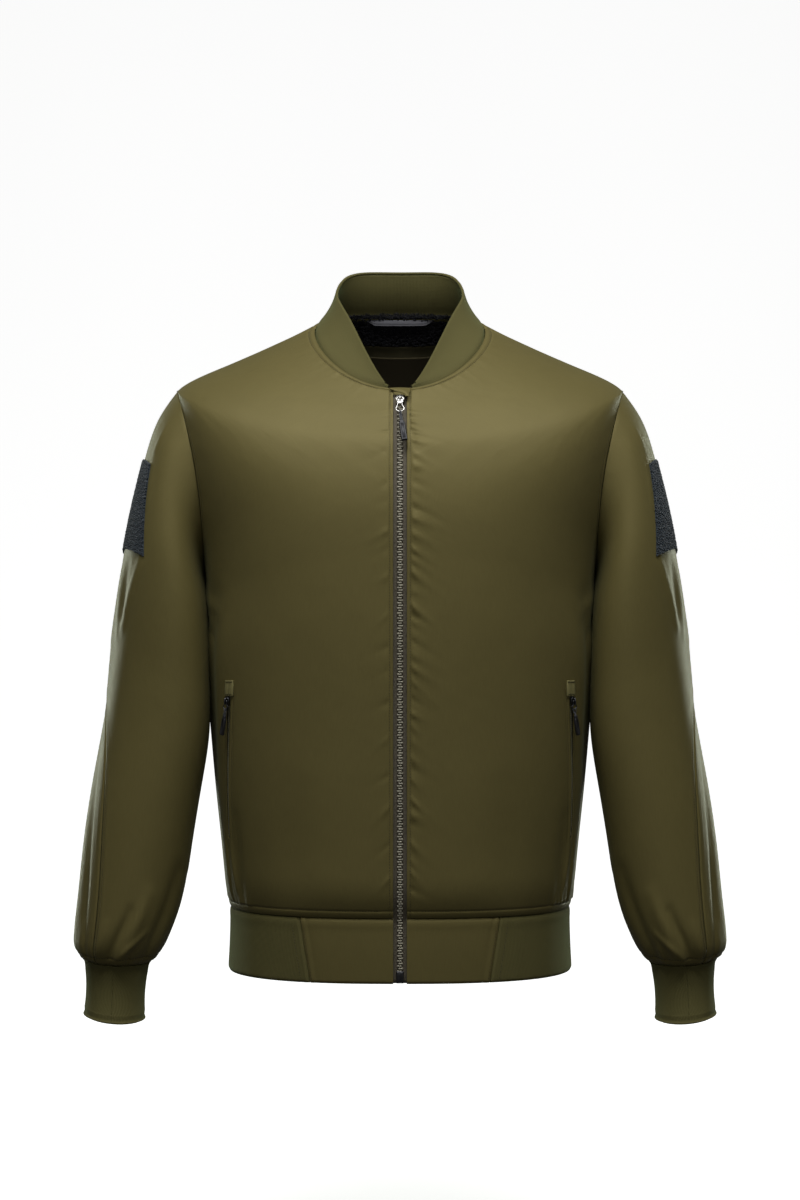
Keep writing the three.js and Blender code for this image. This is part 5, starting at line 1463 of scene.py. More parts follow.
class Sleeves:
    """Both sleeves with their pile patches."""

    def __init__(self, finishes: Finishes, torso: Torso) -> None:
        """Sets up the surfaces of the sleeves, which lie against the torso."""
        self.cloth = Cloth(finishes.nylon, "olive_shell", SHELL)
        self.pile = Cloth(finishes.pile, "navy_pile", 1.1)
        self.surfaces = {}
        for side in Side:
            tree, normals = torso.side_samples(side)
            gathers = PuckerRow(11 if side is Side.LEFT else 12, 0, 389, 13, 1.5, 3.6, 13)
            self.surfaces[side] = SleeveSurface(side, tree, normals, gathers=gathers)
        self.downs = edge_graded(0.4, SLEEVE_END - 0.3, 190, FINEST_ROW)

    def piece_grid(self, side: Side, start: Array, end: Array, count: int) -> Array:
        """The outer points of one piece between two seams.

        Args:
            side: Which sleeve.
            start: The first seam's angle at each ring, in radians.
            end: The last seam's angle at each ring, in radians.
            count: How many even columns there are.

        Returns:
            The grid of points.
        """
        shares = edge_graded(0.002, 0.998, count, 0.006)
        turns = start[:, None] + (end - start)[:, None] * shares[None, :]
        downs = np.broadcast_to(self.downs[:, None], turns.shape)
        return to_side(self.surfaces[side].outer(downs, turns), side)

    def build(self) -> None:
        """Builds the front and back piece of each sleeve."""
        under = np.full_like(self.downs, UNDERARM_TURN * RAD)
        for side in Side:
            seam = self.surfaces[side].form.outer_seam(self.downs)
            pieces = {"front": (under - 2 * math.pi, seam, 64), "back": (seam, under, 52)}
            for which, (start, end, count) in pieces.items():
                grid = self.piece_grid(side, start, end, count)
                name = f"sleeve_{which}_{side.suffix}"
                add_sheet(f"cloth_{name}", name, grid, self.cloth, side is Side.RIGHT)
            self.build_patch(side)

    def patch_place(self, down: Array, across: Array) -> tuple[Array, Array]:
        """The sleeve's own coordinates for shares down and across the patch."""
        edges = (PATCH_TOP, PATCH_BOTTOM)
        top_turn, bottom_turn = (first[0] + (last[0] - first[0]) * across for first, last in edges)
        top, bottom = (first[1] + (last[1] - first[1]) * across for first, last in edges)
        return top + (bottom - top) * down, (top_turn + (bottom_turn - top_turn) * down) * RAD

    def build_patch(self, side: Side) -> None:
        """Builds the pile patch of one sleeve: its ground cloth and its loops."""
        surface = self.surfaces[side]
        down, across = np.meshgrid(np.linspace(0, 1, 46), np.linspace(0, 1, 40), indexing="ij")
        places = self.patch_place(down, across)
        from_ends = np.minimum(down, 1 - down) * PATCH_HEIGHT
        edge = np.minimum(from_ends, np.minimum(across, 1 - across) * PATCH_WIDTH)
        rise = 1.3 * (0.3 + 0.7 * smooth01(edge / 2.5))
        normal = surface.slope_normal(surface.plain, *places)
        grid = to_side(surface.outer(*places) + normal * rise[..., None], side)
        node = f"pile_patch_{side.suffix}"
        add_sheet(f"patch_base_{side.suffix}", node, grid, self.pile, side is Side.RIGHT)
        self.build_loops(side)

    def build_loops(self, side: Side) -> None:
        """Builds the loops of one patch."""
        chance = np.random.default_rng(31 if side is Side.LEFT else 32)
        surface = self.surfaces[side]
        down, across = np.meshgrid((np.arange(44) + 0.5) / 44, (np.arange(37) + 0.5) / 37, indexing="ij")
        down = np.clip(down + chance.uniform(-0.008, 0.008, down.shape), 0.008, 0.992)
        across = np.clip(across + chance.uniform(-0.009, 0.009, down.shape), 0.008, 0.992)
        places = self.patch_place(down, across)
        normal = surface.slope_normal(surface.plain, *places)
        spots = to_side(surface.outer(*places) + normal * 1.35, side).reshape(-1, 3)
        outs = to_side(normal, side).reshape(-1, 3)
        places = tuft_places(spots, outs, 1.35, chance)
        tufts = scattered(f"patch_loops_{side.suffix}", (tuft_mesh(),), places)
        wear(tufts, self.pile.material, self.pile.slot)


class Ribs:
    """The rib knit parts: collar, cuffs and hem band, with the hem's plain front pieces."""

    def __init__(self, finishes: Finishes) -> None:
        """Sets up the cloths and the forms."""
        self.rib = Cloth(finishes.rib, "olive_rib", RIB)
        self.shell = Cloth(finishes.nylon, "olive_shell", RIB)
        self.cuff = CuffForm()
        self.hem = HemForm()
        self.collar = CollarForm(TORSO)

    def build(self) -> None:
        """Builds every band."""
        for side in Side:
            self.build_cuff(side)
            self.build_hem_front(side)
        self.build_hem_rib()
        self.build_collar()

    def rolled(self, share: Array, height: float | Array, dip: float = 0.8) -> Array:
        """How far a band dips at its seam, where share is 0, and rolls in at its free edge."""
        return -1.3 * np.exp(-(((1 - share) * height / 1.4) ** 2)) + seam_dip(share * height, dip, 1.8, 0.3)

    def build_cuff(self, side: Side) -> None:
        """Builds the cuff of one sleeve."""
        rows = edge_graded(0.005, 1, 30, 0.014)
        shares, turns = np.meshgrid(rows, np.linspace(0, 2 * math.pi, 150), indexing="ij")
        plain = self.cuff.point(shares, turns)
        dip = self.rolled(shares, self.cuff.height)
        grid = to_side(plain + grid_normals(plain) * dip[..., None], side)
        name = f"cuff_{side.suffix}"
        add_sheet(f"rib_{name}", name, grid, self.rib, side is Side.RIGHT)

    def hem_grid(self, starts: Callable, ends: Callable, count: int, sewn: bool = False) -> Array:
        """The outer points of a part of the hem band.

        Args:
            starts: Gives the first angle at each height.
            ends: Gives the last angle at each height.
            count: How many even columns there are.
            sewn: True presses in the topstitching beside the last edge.

        Returns:
            The grid of points.
        """
        heights = edge_graded(self.hem.bottom_z, self.hem.top_z - 0.3, 28, FINEST_ROW)
        heights = np.concatenate([heights, self.hem.top_z + np.array(HEM_TONGUE)])
        shares = edge_graded(0, 1, count, 0.004)
        first, last = starts(heights), ends(heights)
        turns = first[:, None] + (last - first)[:, None] * shares[None, :]
        tall = np.broadcast_to(heights[:, None], turns.shape)
        plain = self.hem.point(tall, turns)
        normal = grid_normals(plain)
        whole = self.hem.top_z - self.hem.bottom_z
        dip = self.rolled((self.hem.top_z - tall) / whole, whole)
        to_seam = np.linalg.norm(plain - plain[:, -1:], axis=-1)
        dip += seam_dip(to_seam, 0.5, 1.0, 0.2) + (groove(to_seam - 7, 0.6) if sewn else 0)
        dip -= 2.3 * smooth01((tall - self.hem.top_z + 0.3) / 0.9)
        return plain + normal * dip[..., None]

    def build_hem_rib(self) -> None:
        """Builds the rib part of the hem, from one slanting seam round the back to the other."""

        def start(z: Array) -> Array:
            """The angle of the left seam at each height."""
            return self.hem.turn_at(z, self.hem.seam_x(z) + HEM_HALF_GAP)

        grid = self.hem_grid(start, lambda z: 2 * math.pi - start(z), 260)
        add_sheet("rib_hem", "hem_rib", grid, self.rib)

    def build_hem_front(self, side: Side) -> None:
        """Builds the plain front piece of the hem on one side."""
        grid = self.hem_grid(
            lambda z: self.hem.turn_at(z, np.full_like(z, ZIP_HALF_GAP)),
            lambda z: self.hem.turn_at(z, self.hem.seam_x(z) - HEM_HALF_GAP),
            40,
            True,
        )
        name = f"hem_front_{side.suffix}"
        add_sheet(f"cloth_{name}", name, to_side(grid, side), self.shell, side is Side.LEFT)

    def build_collar(self) -> None:
        """Builds the collar."""
        start = math.asin(self.collar.start_x / 85)
        rows = np.concatenate([COLLAR_TONGUE, edge_graded(0.012, 1, 30, 0.02)])
        shares, turns = np.meshgrid(rows, edge_graded(start, 2 * math.pi - start, 240, 0.01), indexing="ij")
        plain = self.collar.point(shares, turns)
        height = self.collar.rows["height"].at(np.where(turns > math.pi, 2 * math.pi - turns, turns) / RAD)
        dip = self.rolled(shares, height, 0.9) - 2.0 * smooth01((0.012 - shares) / 0.03)
        grid = plain + grid_normals(plain) * dip[..., None]
        add_sheet("rib_collar", "collar", grid, self.rib)


class NeckLining:
    """What shows inside the back neck: facing, fleece band, hanging loop and a plain label panel."""

    tufts = 1700
    fibres = 520
    loop_reach = 0.33  # how much of the back's width the loop takes to either side
    loop_top = 16.3

    def __init__(self, finishes: Finishes, torso: Torso) -> None:
        """Keeps the materials and the back that the lining is sewn to."""
        self.finishes = finishes
        self.back = torso.back

    def inside(self, ups: Array, shares: Array, depth: float | Array) -> Array:
        """Points a given depth under the back's outer face, on both sides of its centre line."""
        return self.back.offset(ups, np.abs(shares), -depth) * mirror_signs(shares)

    def inward(self, ups: Array, shares: Array) -> Array:
        """Normals of the back that point into the neck."""
        return -self.back.normal(ups, np.abs(shares)) * mirror_signs(shares)

    def layer(self, low: float, high: float, reach: float, depth: float, rows: int, columns: int) -> Array:
        """Points of a layer on the inside of the back.

        Args:
            low: The lowest ring.
            high: The highest ring.
            reach: How much of the back's width it takes to either side.
            depth: How far under the back's outer face it lies.
            rows: How many rows there are.
            columns: How many columns there are.

        Returns:
            The grid of points.
        """
        across = np.linspace(-reach, reach, columns)
        ups, shares = np.meshgrid(np.linspace(low, high, rows), across, indexing="ij")
        return self.inside(ups, shares, depth)

    def build_tufts(self) -> None:
        """Builds the fleece's tufts and the stray fibres of its top edge."""
        chance = np.random.default_rng(41)
        ups = chance.uniform(575, NECK_UP + 3.6, self.tufts)
        shares = chance.uniform(-0.6, 0.6, self.tufts)
        spots = self.inside(ups, shares, 5.2)
        places = tuft_places(spots, self.inward(ups, shares), 1.5, chance)
        piece = scattered("fleece_tufts", (tuft_mesh(),), places)
        wear(piece, self.finishes.fleece, "black_fleece")

        def fibre(bm: Bmesh) -> None:
            """A thin fibre along Z."""
            bmesh.ops.create_cone(bm, segments=4, radius1=0.42, radius2=0.1, depth=4.6)

        shares = np.sort(chance.uniform(-0.56, 0.56, self.fibres))
        ragged = chance.uniform(-1.2, 1.6, self.fibres)
        ups = NECK_UP + 3.8 + ragged + 0.9 * np.sin(shares * 61) * np.sin(shares * 23)
        places = [
            placed(spot, out, (0, 0, 1)) @ tipped(chance, (-0.9, 0.9), (-0.5, 0.2))
            for spot, out in zip(self.inside(ups, shares, 5.6), self.inward(ups, shares))
        ]
        fibres = scattered("fleece_fibres", (small_mesh("fibre", fibre),), places)
        wear(fibres, self.finishes.fleece, "black_fleece")

    def build_loop(self) -> None:
        """Builds the hanging loop, a folded tape whose ends taper into the seam."""
        across = np.linspace(-self.loop_reach, self.loop_reach, 90)
        fold, shares = np.meshgrid(np.linspace(-4.4, 6.4, 16), across, indexing="ij")
        along = np.abs(shares) / self.loop_reach
        narrow = 1 - smooth01((along - 0.62) / 0.38)
        depth = 8.6 + 1.4 * (1 - along**2) - 1.6 * along**4 - 1.2 * smooth01(-fold / 1.2)
        grid = self.inside(np.full_like(shares, NECK_UP - 1), shares, depth)
        grid[..., 2] = self.loop_top - np.abs(fold) * (0.12 + 0.88 * narrow)
        tape = Cloth(self.finishes.grey_tape, "grey_tape", TAPE)
        add_sheet("loop_tape", "hanger_loop", grid, tape, False)

    def build(self) -> None:
        """Builds the layers."""
        cloth = Cloth(self.finishes.facing, "dark_olive", 1.2)
        add_sheet("facing", "neck_facing", self.layer(496, 573.8, 0.625, 3.4, 40, 120), cloth)
        cloth = Cloth(self.finishes.fleece, "black_fleece", 1.8)
        fleece = self.layer(574.2, NECK_UP + 3.2, 0.75, 3.6, 30, 160)
        add_sheet("fleece_base", "neck_fleece", fleece, cloth)
        self.build_tufts()
        self.build_loop()
        cloth = Cloth(self.finishes.label, "dark_olive", 0.8)
        add_sheet("label_panel", "neck_label", self.layer(522, 563, 0.25, 4.4, 30, 60), cloth)


@dataclass
class CentreFront(ClothSurface):
    """The middle of the front from the hem's edge to the neck; v is the way from the centre line."""

    hem: HemForm = field(default_factory=HemForm)
    step_v: float = 0.5
    turned: int = -1

    def plain(self, u: Array, v: Array) -> Array:
        """Points of the front, or of the hem band below the waist seam."""
        u, v = np.broadcast_arrays(np.asarray(u, float), np.asarray(v, float))
        up = np.maximum(u, 0)
        body = TORSO.panel(up, zip_share(up, np.abs(v)), True)
        height = self.hem.top_z + np.minimum(u, 0)
        band = self.hem.point(height, self.hem.turn_at(height, np.abs(v)))
        place = np.where((u >= 0)[..., None], body, band)
        place[..., 0] = v
        return place

    def frame(self, up: float, outset: float) -> Matrix:
        """A frame on the centre line, a way off the surface."""
        u, v = np.array([up]), np.array([0.0])
        higher, lower = self.plain(u + 3, v)[0], self.plain(u - 3, v)[0]
        normal = np.array([0, lower[2] - higher[2], higher[1] - lower[1]])
        normal = normal / np.linalg.norm(normal)
        return placed(self.plain(u, v)[0] + normal * outset, normal, (0, 0, 1))


@dataclass(frozen=True)
class SliderShape:
    """A zip slider with its bridge, its back at y 0, seen from -Y."""

    width: float = 8.6
    length: float = 11
    height: float = 3.2
    hinge: Triple = (0, -4.225, 1.2)

    def build(self, bm: Bmesh) -> None:
        """Adds the oval plate, its two side rails and the bridge."""
        turn = Matrix.Rotation(math.pi / 2, 4, "X")
        for depth, middle, grow in ((1.1, -self.height + 0.55, 1.0), (self.height, -self.height / 2, 0.8)):
            made = bmesh.ops.create_cone(
                bm, cap_ends=True, segments=28, radius1=1, radius2=1, depth=depth, matrix=turn,
            )["verts"]
            bmesh.ops.scale(bm, vec=(self.width / 2 * grow, 1, self.length / 2), verts=made)
            low = [vert for vert in made if vert.co.z < -0.5]
            bmesh.ops.scale(bm, vec=(0.8, 1, 1), verts=low)
            bmesh.ops.translate(bm, vec=(0, middle, 0), verts=made)
            edges = {edge for vert in made for edge in vert.link_edges}
            level = [edge for edge in edges if abs(edge.verts[0].co.y - edge.verts[1].co.y) < 1e-4]
            bmesh.ops.bevel(bm, geom=level, offset=0.35, segments=2, profile=0.5, affect="EDGES", material=-1)
        arch = [(0, -2.8, 3.4), (0, -5.1, 2.7), (0, -5.6, 0.6), (0, -5.2, -2.0), (0, -2.8, -3.0)]
        tube(bm, smooth_path(arch, 14), 0.85, 10)


@dataclass(frozen=True)
class PullShape:
    """A wire bail, a short cord and a moulded grip that hang from a hinge line on X."""

    bail: float
    cord: float
    grip: float
    width: float
    lean: float
    scale: float = 1
    depth: float = 3.2

    def leaned(self, bm: Bmesh) -> None:
        """Swings what hangs from the bail to the side."""
        pivot = Matrix.Translation((0, 0, -self.bail))
        turn = pivot @ Matrix.Rotation(self.lean * RAD, 4, "Y") @ pivot.inverted()
        bmesh.ops.transform(bm, matrix=turn, verts=bm.verts)

    def build_bail(self, bm: Bmesh) -> None:
        """Adds the wire ring and the pin through the bridge."""
        wire = 0.62 * self.scale
        half = 2.2 * self.scale
        belly = 3.9 * self.scale
        down = self.bail
        ring = smooth_path(
            [(0, 0, 0.15), (-half, 0, -0.5), (-half, 0, -down * 0.4), (-half - 0.3, 0, -down * 0.6),
             (-belly, 0, -down + 3.2), (0, 0, -down), (belly, 0, -down + 3.2), (half + 0.3, 0, -down * 0.6),
             (half, 0, -down * 0.4), (half, 0, -0.5), (0, 0, 0.15)],
            48,
        )
        tube(bm, ring, wire, 10)

    def build_cord(self, bm: Bmesh) -> None:
        """Adds the doubled cord, looped round the bail and pinched into the grip."""
        end = -self.bail - self.cord
        for sign in (-1, 1):
            run = smooth_path(
                [(0, -0.9 * sign, -self.bail + 0.9), (0.3 * sign, -1.1 * sign, -self.bail - 1.2),
                 (0.75 * sign, 0, end + self.cord * 0.5), (0.6 * sign, 0, end - 1.5)],
                12,
            )
            tube(bm, run, 0.8, 8)
        self.leaned(bm)

    def build_grip(self, bm: Bmesh) -> None:
        """Adds the moulded grip with a collar round the cord and a sunk panel on both faces."""
        top = -self.bail - self.cord
        block(bm, (self.width * 0.72, self.depth * 0.9, 3.4), (0, 0, top - 1.0), 0.6, 2)
        block(bm, (self.width, self.depth, self.grip - 2), (0, 0, top - 2 - (self.grip - 2) / 2), 0.9, 3)
        for sign in (-1, 1):
            faces = [f for f in bm.faces if f.normal.y * sign > 0.99 and f.calc_area() > self.grip]
            bmesh.ops.inset_region(bm, faces=faces, thickness=0.7, depth=0)
            bmesh.ops.inset_region(bm, faces=faces, thickness=0.3, depth=-0.4)
        self.leaned(bm)


def add_pull(
    name: str, node: str, shape: PullShape, matrix: Matrix, bail: Material, finishes: Finishes
) -> None:
    """Adds the three pieces of a pull, which swing on their own body.

    Args:
        name: The start of the pieces' names.
        node: The pull's node, which is also its body.
        shape: Its sizes.
        matrix: Its frame at the hinge.
        bail: The wire's metal.
        finishes: The jacket's materials.
    """
    parts = (("bail", shape.build_bail, bail), ("cord", shape.build_cord, finishes.cord),
             ("grip", shape.build_grip, finishes.rubber))
    for part, build, material in parts:
        piece = linked(small_mesh(f"{name}_{part}", build), matrix)
        wear(piece, material, "black_rubber", node)
        if part == "grip":
            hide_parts(node)


class FrontZip:
    """The front zip: tapes, teeth, slider, pull, stop box, the flap behind it and the fold over its top."""

    top: float = 588
    bottom: float = -61.0
    main_hinge: Triple = (0.0, -91.8622, -76.7972)

    def __init__(self, finishes: Finishes) -> None:
        """Keeps the materials and sets up the line of the zip."""
        self.finishes = finishes
        self.shell = Cloth(finishes.nylon, "olive_shell", SHELL)
        self.line = CentreFront()

    def strip(self, low: float, high: float, left: float, right: float, outset: float, columns: int) -> Array:
        """The outer points of a strip along the zip."""
        shares = np.linspace(left, right, columns)
        ups, across = np.meshgrid(np.linspace(low, high, 170), shares, indexing="ij")
        return self.line.offset(ups, across, outset)

    def build(self) -> None:
        """Builds every piece of the zip."""
        tape = Cloth(self.finishes.tape, "taupe_tape", TAPE)
        for side in Side:
            grid = to_side(self.strip(self.bottom, self.top, 1.2, 15, -2.5, 9), side)
            node = f"zip_tape_{side.suffix}"
            add_sheet(f"zip_band_{side.suffix}", node, grid, tape, side is Side.LEFT)
        grid = self.strip(self.bottom, NECK_UP - 2, -21, 21, -4.2, 15)
        add_sheet("wind_flap_cloth", "wind_flap", grid, self.shell)
        self.build_teeth()
        self.build_hardware()
        self.build_garage()

    def build_teeth(self) -> None:
        """Builds the moulded teeth, which reach in by turns from the left and the right."""

        def tooth(bm: Bmesh) -> None:
            """A tooth with a raised bead at its head."""
            block(bm, (4.3, 1.9, 1.75), (0.55, 0, 0), 0.4, 1)
            bead = bmesh.ops.create_uvsphere(bm, u_segments=8, v_segments=5, radius=0.8)["verts"]
            bmesh.ops.scale(bm, vec=(1.2, 0.7, 0.9), verts=bead)
            bmesh.ops.translate(bm, vec=(-0.6, -0.95, 0), verts=bead)

        shape = small_mesh("tooth", tooth)
        mirrored = shape.copy()
        mirrored.transform(Matrix.Rotation(math.pi, 4, "Y"))
        ups = np.linspace(self.bottom + 8, self.top - 6, 400)
        line, normals = self.line.plain(ups, 0 * ups), self.line.normal(ups, 0 * ups)
        piece = scattered("zip_teeth_row", (shape, mirrored), places_along(line, normals, 2.4, 1.35))
        wear(piece, self.finishes.teeth, "zip_teeth")
        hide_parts("zip_teeth")

    def build_hardware(self) -> None:
        """Builds the slider, its pull and the stop box."""
        shape = SliderShape()
        frame_at = self.line.frame(572, 0)
        frame_at.translation = Vector(self.main_hinge) * MM
        to_hinge = frame_at @ Matrix.Translation(-Vector(shape.hinge))
        slider = linked(small_mesh("zip_slider_body", shape.build), to_hinge)
        wear(slider, self.finishes.nickel, "nickel")
        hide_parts("zip_slider")
        pull = PullShape(bail=18, cord=12, grip=24, width=5.8, lean=-7)
        add_pull("zip", "zip_pull", pull, frame_at, self.finishes.nickel, self.finishes)

        def box(bm: Bmesh) -> None:
            """The stop box with its pin beside it."""
            block(bm, (7.2, 3.2, 11.5), (0, -1.6, 0), 0.9, 3)
            block(bm, (1.0, 0.6, 8.6), (1.1, -3.3, 0.6), 0.25, 2)

        stop = linked(small_mesh("zip_stop_box", box), self.line.frame(-54.7, -0.3))
        wear(stop, self.finishes.gunmetal, "gunmetal")
        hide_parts("zip_stop")

    def build_garage(self) -> None:
        """Builds the folded corner of the flap over the top of the zip."""
        rows, columns = np.meshgrid(np.linspace(0, 1, 26), np.linspace(0, 1, 34), indexing="ij")
        left = -10.6 + 15.6 * smooth01(rows * 1.02) ** 0.85
        right = 10.6 - 2.4 * rows
        x = left + (right - left) * columns
        bulge = 1.5 * np.sin(math.pi * columns) * np.sin(math.pi * np.clip(rows * 0.9 + 0.1, 0, 1))
        local = points(x, -1.4 - bulge, -14 * rows)
        frame_at = np.array(self.line.frame(NECK_UP - 3, 0.5))
        lean = np.array(Matrix.Rotation(-16 * RAD, 3, "X"))
        grid = ((local @ lean.T) @ frame_at[:3, :3].T + frame_at[:3, 3]) / MM
        add_sheet("garage_flap", "zip_garage", grid, self.shell, False)


class Pockets:
    """The two zipped pockets."""

    hinge: Triple = (168.3867, -83.7415, -368.9069)
    scale: float = 0.85

    def __init__(self, finishes: Finishes, torso: Torso) -> None:
        """Keeps the materials and the fronts that the pockets are set into."""
        self.finishes = finishes
        self.tape = Cloth(finishes.pocket_tape, "taupe_tape", TAPE)
        self.tab = Cloth(finishes.tab, "olive_shell", SHELL)
        self.fronts = torso.fronts

    def shares(self, side: Side, ups: Array, across: Array) -> Array:
        """The share of the front at a way across from the zip's line."""
        share = pocket_share(ups)
        panel = self.fronts[side]
        width = np.linalg.norm(panel.plain(ups, share + 0.01) - panel.plain(ups, share), axis=-1) / 0.01
        return share + across / width

    def strip(self, side: Side, low: float, high: float, half: float, outset: float, rows: int) -> Array:
        """The outer points of a strip along the pocket zip."""
        ups, across = np.meshgrid(np.linspace(low, high, rows), np.linspace(-half, half, 9), indexing="ij")
        return to_side(self.fronts[side].offset(ups, self.shares(side, ups, across), outset), side)

    def line(self, side: Side, low: float, high: float, across: float) -> tuple[Array, Array]:
        """Points and normals of a line beside the pocket zip."""
        ups = np.linspace(low, high, 90)
        shares = self.shares(side, ups, np.full_like(ups, across))
        panel = self.fronts[side]
        return to_side(panel.point(ups, shares), side), to_side(panel.normal(ups, shares), side)

    def build(self) -> None:
        """Builds both pockets."""

        def tooth(bm: Bmesh) -> None:
            """One turn of the fine teeth."""
            block(bm, (3.2, 1.3, 1.15), (0, 0, 0), 0.35, 1)

        shape = small_mesh("pocket_tooth", tooth)
        low, high = POCKET_BOTTOM_UP, POCKET_TOP_UP
        for side in Side:
            which, is_left = side.suffix, side is Side.LEFT
            tape = self.strip(side, low - 6, high, 9, -2.2, 60)
            add_sheet(f"pocket_band_{which}", f"pocket_tape_{which}", tape, self.tape, is_left)
            line, normals = self.line(side, low + 1, high - 8, 0)
            places = places_along(line, normals, 1.9, 0.45)
            teeth = scattered(f"pocket_teeth_row_{which}", (shape,), places)
            wear(teeth, self.finishes.pocket_teeth, "zip_teeth")
            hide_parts(f"pocket_teeth_{which}")
            tab = self.strip(side, high - 10, high + 5, 5.2, 1.5, 24)
            add_sheet(f"pocket_tab_fold_{which}", f"pocket_tab_{which}", tab, self.tab, is_left)
            self.build_hardware(side)

    def build_hardware(self, side: Side) -> None:
        """Builds one pocket's slider and pull."""
        up = np.array([POCKET_TOP_UP - 15.0])
        share = pocket_share(up)
        panel = self.fronts[side]
        normal = panel.slope_normal(panel.plain, up, share)[0]
        upward = panel.plain(up + 2, share)[0] - panel.plain(up - 2, share)[0]
        hinge = np.array(self.hinge)
        shape = SliderShape()
        mirror = Matrix.Scale(side.value, 4, (1, 0, 0))
        grown = Matrix.Scale(self.scale, 4) @ Matrix.Translation(-Vector(shape.hinge))
        slider = small_mesh(f"pocket_slider_body_{side.suffix}", shape.build)
        slider.transform(mirror @ placed(hinge, normal, upward) @ grown)
        if side is Side.RIGHT:
            slider.flip_normals()
        piece = linked(slider)
        wear(piece, self.finishes.gunmetal, "gunmetal")
        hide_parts(f"pocket_slider_{side.suffix}")
        level = Vector((normal[0] * side.value, normal[1], 0))
        lean = -14 * side.value
        pull = PullShape(bail=8.5, cord=7, grip=19, width=4.8, lean=lean, scale=self.scale, depth=3.0)
        matrix = placed(hinge * np.array([side.value, 1, 1]), level, (0, 0, 1))
        name = f"pocket_{side.suffix}"
        node = f"pocket_pull_{side.suffix}"
        add_pull(name, node, pull, matrix, self.finishes.gunmetal, self.finishes)


class Stitching:
    """Rows of stitches and bar tacks."""

    def __init__(self, finishes: Finishes, torso: Torso, sleeves: Sleeves, pockets: Pockets) -> None:
        """Makes the stitch and keeps what it is sewn to."""
        self.finishes = finishes
        self.torso = torso
        self.sleeves = sleeves
        self.pockets = pockets
        self.places: list[Matrix] = []

        def stitch(bm: Bmesh) -> None:
            """One stitch: a short plump thread along Z."""
            bmesh.ops.create_uvsphere(bm, u_segments=6, v_segments=4, radius=0.5)
            bmesh.ops.scale(bm, vec=(0.8, 0.7, 2.1), verts=bm.verts)

        self.stitch = small_mesh("stitch", stitch)

    def row(self, line: Array, normals: Array, pitch: float = 2.7) -> None:
        """Adds a row of stitches along a line."""
        self.places += places_along(line, normals, pitch, 0.02)

    def on_panel(self, side: Side, is_front: bool, ups: Array, shares: Array) -> None:
        """Adds a row on a front or the back."""
        panel = self.torso.fronts[side] if is_front else self.torso.back
        self.row(to_side(panel.point(ups, shares), side), to_side(panel.normal(ups, shares), side))

    def build(self) -> None:
        """Sews every row, one piece for each side."""
        for side in Side:
            self.places = []
            self.sew_body(side)
            self.sew_sleeve(side)
            self.sew_trim(side)
            piece = scattered(f"stitches_{side.suffix}", (self.stitch,), self.places)
            # The stitches wear the thread whose dark colour holds painted shade.
            wear(piece, self.finishes.thread, "olive_shell")

    def sew_body(self, side: Side) -> None:
        """Sews the neck, shoulder, armhole, waist and zip rows of one side."""
        front, back = self.torso.fronts[side], self.torso.back
        neck = np.full(120, NECK_UP - NECK_STITCH)
        self.on_panel(side, True, neck, np.linspace(0.14, 0.97, 120))
        self.on_panel(side, False, neck, np.linspace(0, 0.97, 120))
        ups = np.linspace(SHOULDER_UP + 3, NECK_UP - 6, 90)
        self.on_panel(side, False, ups, 1 - SEAM_STITCH / back.seam_length(ups))
        arm = np.linspace(UNDERARM_UP + 14, SHOULDER_UP - 3, 130)
        self.on_panel(side, True, arm, 1 - SEAM_STITCH / front.seam_length(arm))
        self.on_panel(side, False, arm, 1 - SEAM_STITCH / back.seam_length(arm))
        waist = np.full(150, WAIST_STITCH)
        self.on_panel(side, True, waist, np.linspace(0.075, 0.985, 150))
        self.on_panel(side, False, waist, np.linspace(0.0, 0.985, 150))
        edge = np.linspace(3, NECK_UP - 7, 260)
        self.on_panel(side, True, edge, zip_share(edge, ZIP_HALF_GAP + ZIP_STITCH))

    def sew_sleeve(self, side: Side) -> None:
        """Sews the row above the cuff and beside the outer seam of one sleeve."""
        surface = self.sleeves.surfaces[side]
        for rise in CUFF_STITCHES:
            turns = np.linspace(0, 2 * math.pi, 220)
            downs = np.full_like(turns, SLEEVE_END - rise)
            normals = surface.slope_normal(surface.plain, downs, turns)
            self.row(to_side(surface.outer(downs, turns), side), to_side(normals, side))
        downs = np.linspace(12, SLEEVE_END - 9, 240)
        turns = surface.form.outer_seam(downs) - 4.5 / 55
        self.row(to_side(surface.outer(downs, turns), side), to_side(surface.normal(downs, turns), side))

    def sew_trim(self, side: Side) -> None:
        """Sews the pocket, the hem's slanting seam and the bar tacks of one side."""
        for across in (-POCKET_STITCH, POCKET_STITCH):
            self.row(*self.pockets.line(side, POCKET_BOTTOM_UP - 3, POCKET_TOP_UP - 6, across))
        panel = self.torso.fronts[side]
        for up in (POCKET_TOP_UP - 8.2, POCKET_TOP_UP + 3.4):
            ups = np.full(12, up)
            shares = self.pockets.shares(side, ups, np.linspace(-4.2, 4.2, 12))
            tack = to_side(panel.offset(ups, shares, 1.55), side)
            self.row(tack, to_side(panel.normal(ups, shares), side), 1.0)
        hem = HemForm()
        heights = np.linspace(hem.bottom_z + 3, hem.top_z - 3, 60)
        for beside in (-10.5, 0.0):
            turns = hem.turn_at(heights, hem.seam_x(heights) + 6 + beside + 2.4)
            out = hem.point(heights, turns)
            normal = grid_normals(np.stack([out, hem.point(heights, turns + 0.01)], axis=1))[:, 0]
            outward = normal * np.sign((normal * out * np.array([1, 1, 0])).sum(axis=1, keepdims=True))
            self.row(to_side(out, side), to_side(outward, side))


